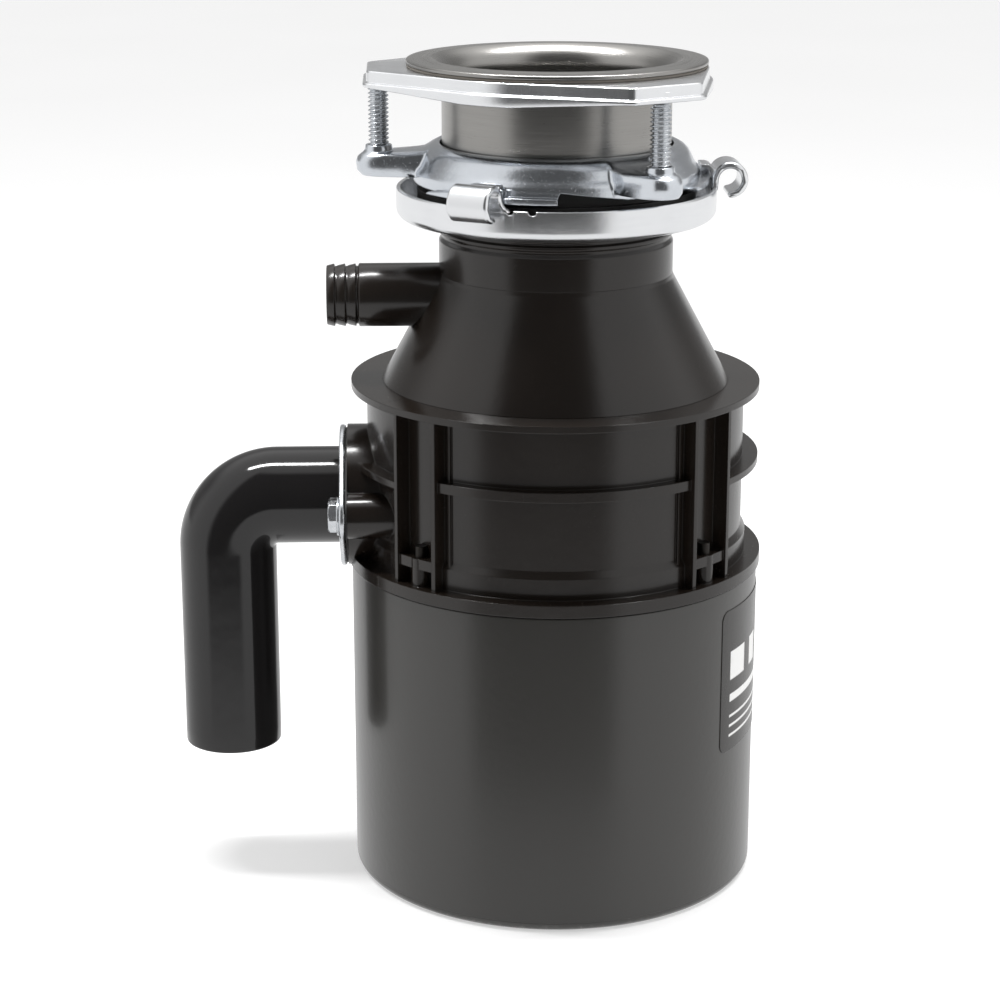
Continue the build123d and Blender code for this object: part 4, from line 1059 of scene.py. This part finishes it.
def drain_tube():
    """Bent tube: a circle carried out along its path and back inside it,
    P(i, a) = c(i) + r(i) (cos a, sin a)."""
    start_x, bend_x, bend_radius, end_height = -79.05, -109.1, 20, 50.6
    outside, inside = 19.05, 16.55
    level = [(x, OUTLET_HEIGHT, 0.0) for x in np.linspace(start_x, bend_x, 8)[:-1]]
    bend = [(bend_x - bend_radius * math.sin(t), OUTLET_HEIGHT - bend_radius + bend_radius * math.cos(t), t)
            for t in np.linspace(0, math.pi / 2, 40)]
    drop = [(bend_x - bend_radius, z, math.pi / 2)
            for z in np.linspace(OUTLET_HEIGHT - bend_radius, end_height, 14)[1:]]
    path = level + bend + drop
    rows = [(*point, outside) for point in path[:-1]]
    x, z, turn = path[-1]
    rows += [(x, z + 0.9, turn, outside), (x, z + 0.3, turn, 18.88), (x, z, turn, 18.4), (x, z, turn, 17.2),
             (x, z + 0.3, turn, 16.7), (x, z + 0.9, turn, inside)]
    rows += [(*point, inside) for point in path[-2::-1]]
    collar = [(start_x, 22.6), (start_x - 2, 22.6), (start_x - 2, outside)]
    rows = [(x, OUTLET_HEIGHT, 0.0, radius) for x, radius in collar] + rows[1:]
    rows = np.array(rows)
    count = len(rows)
    columns = 144
    angles = np.arange(columns) * 2 * np.pi / columns
    circle = np.column_stack((np.cos(angles), np.sin(angles)))
    sections = rows[:, 3, None, None] * circle[None] * MM
    origins = np.column_stack((rows[:, 0], np.zeros(count), rows[:, 1])) * MM
    across = np.tile((0.0, 1.0, 0.0), (count, 1))
    up = np.column_stack((np.sin(rows[:, 2]) * -1, np.zeros(count), np.cos(rows[:, 2])))
    piece("drain_tube_bent", [carried(origins, across, up, sections)], "tube_plastic", "drain_tube",
          ["drain_tube", "drain_bend", "drain_drop"], sharp=50)


def facing_drain(outline, x):
    """An outline in (y, z), in mm, standing at x, as points in metres."""
    outline = np.asarray(outline, float)
    return np.column_stack((np.full(len(outline), x), outline)) * MM


def drain_clamp():
    """Oval clamp flange with two ears and a round hole, its edges rounded."""
    circles = [(0, 152.0, 27.8), (-30.0, BOLT_HEIGHT, 9.2), (30.0, BOLT_HEIGHT, 9.2)]
    count = 480
    angles = np.arange(count) * 2 * np.pi / count

    def rim(inset, x):
        return facing_drain(hull_outline(circles, inset, count), x)

    def hole(radius, x):
        ring = np.column_stack((np.cos(angles), np.sin(angles))) * radius + (0, OUTLET_HEIGHT)
        return facing_drain(ring, x)

    levels = [hole(20.0, -84.4), rim(1.0, -84.4), rim(0.45, -84.25), rim(0.12, -83.95), rim(0, -83.5),
              rim(0, -82.8), rim(0.12, -82.4), rim(0.5, -82.05), rim(0.9, -82.0), hole(19.9, -82.0),
              hole(19.45, -82.4), hole(19.45, -84.0)]
    piece("drain_clamp_pressed", [stacked(levels, count)], "zinc_steel", "disposer", ["drain_clamp"])


def drain_bolts():
    """Hexagon heads with domed faces and washers, on plain shanks."""
    shells = []
    for side in (-1, 1):
        y, z = side * 29.0, BOLT_HEIGHT
        columns = 48
        angles = np.arange(columns) * 2 * np.pi / columns
        flat = 5.5 / np.cos(angles % (math.pi / 3) - math.pi / 6)

        def outline(radii, x):
            return facing_drain(np.column_stack((y + radii * np.cos(angles), z + radii * np.sin(angles))), x)

        heads = [outline(flat, -84.9), outline(flat, -87.9), outline(np.minimum(flat, 6.05), -88.25),
                 outline(np.minimum(flat, 5.7), -88.55), outline(np.full(columns, 5.2), -88.8),
                 outline(np.full(columns, 3.4), -88.85), outline(np.full(columns, 3.1), -88.6),
                 outline(np.full(columns, 0.1), -88.6)]
        shells.append(stacked(heads, columns, closed=False))
        washer = rounded_outline([(3.0, -84.4, 0), (7.3, -84.4, 0.25), (7.3, -85.3, 0.4), (3.0, -85.3, 0)])
        shells.append(turned(washer, 72, centre=(y, z), axis="x"))
        shank = rounded_outline([(0.05, -85.0, 0), (3.0, -85.0, 0), (3.0, -73.4, 0.4), (0.05, -73.4, 0)])
        shells.append(turned(shank, 32, centre=(y, z), axis="x"))
    piece("drain_bolts_hexagon", shells, "zinc_steel", "disposer", ["drain_bolts"])


sink_flange()
clamp_plate()
fiber_gasket()
mounting_screws()
mounting_ring()
support_ring()
hangers()
cushion_lip()
chamber_neck()
inlet_stub()
motor_can()
drain_tube()
drain_clamp()
drain_bolts()
camera()
studio()
floor()
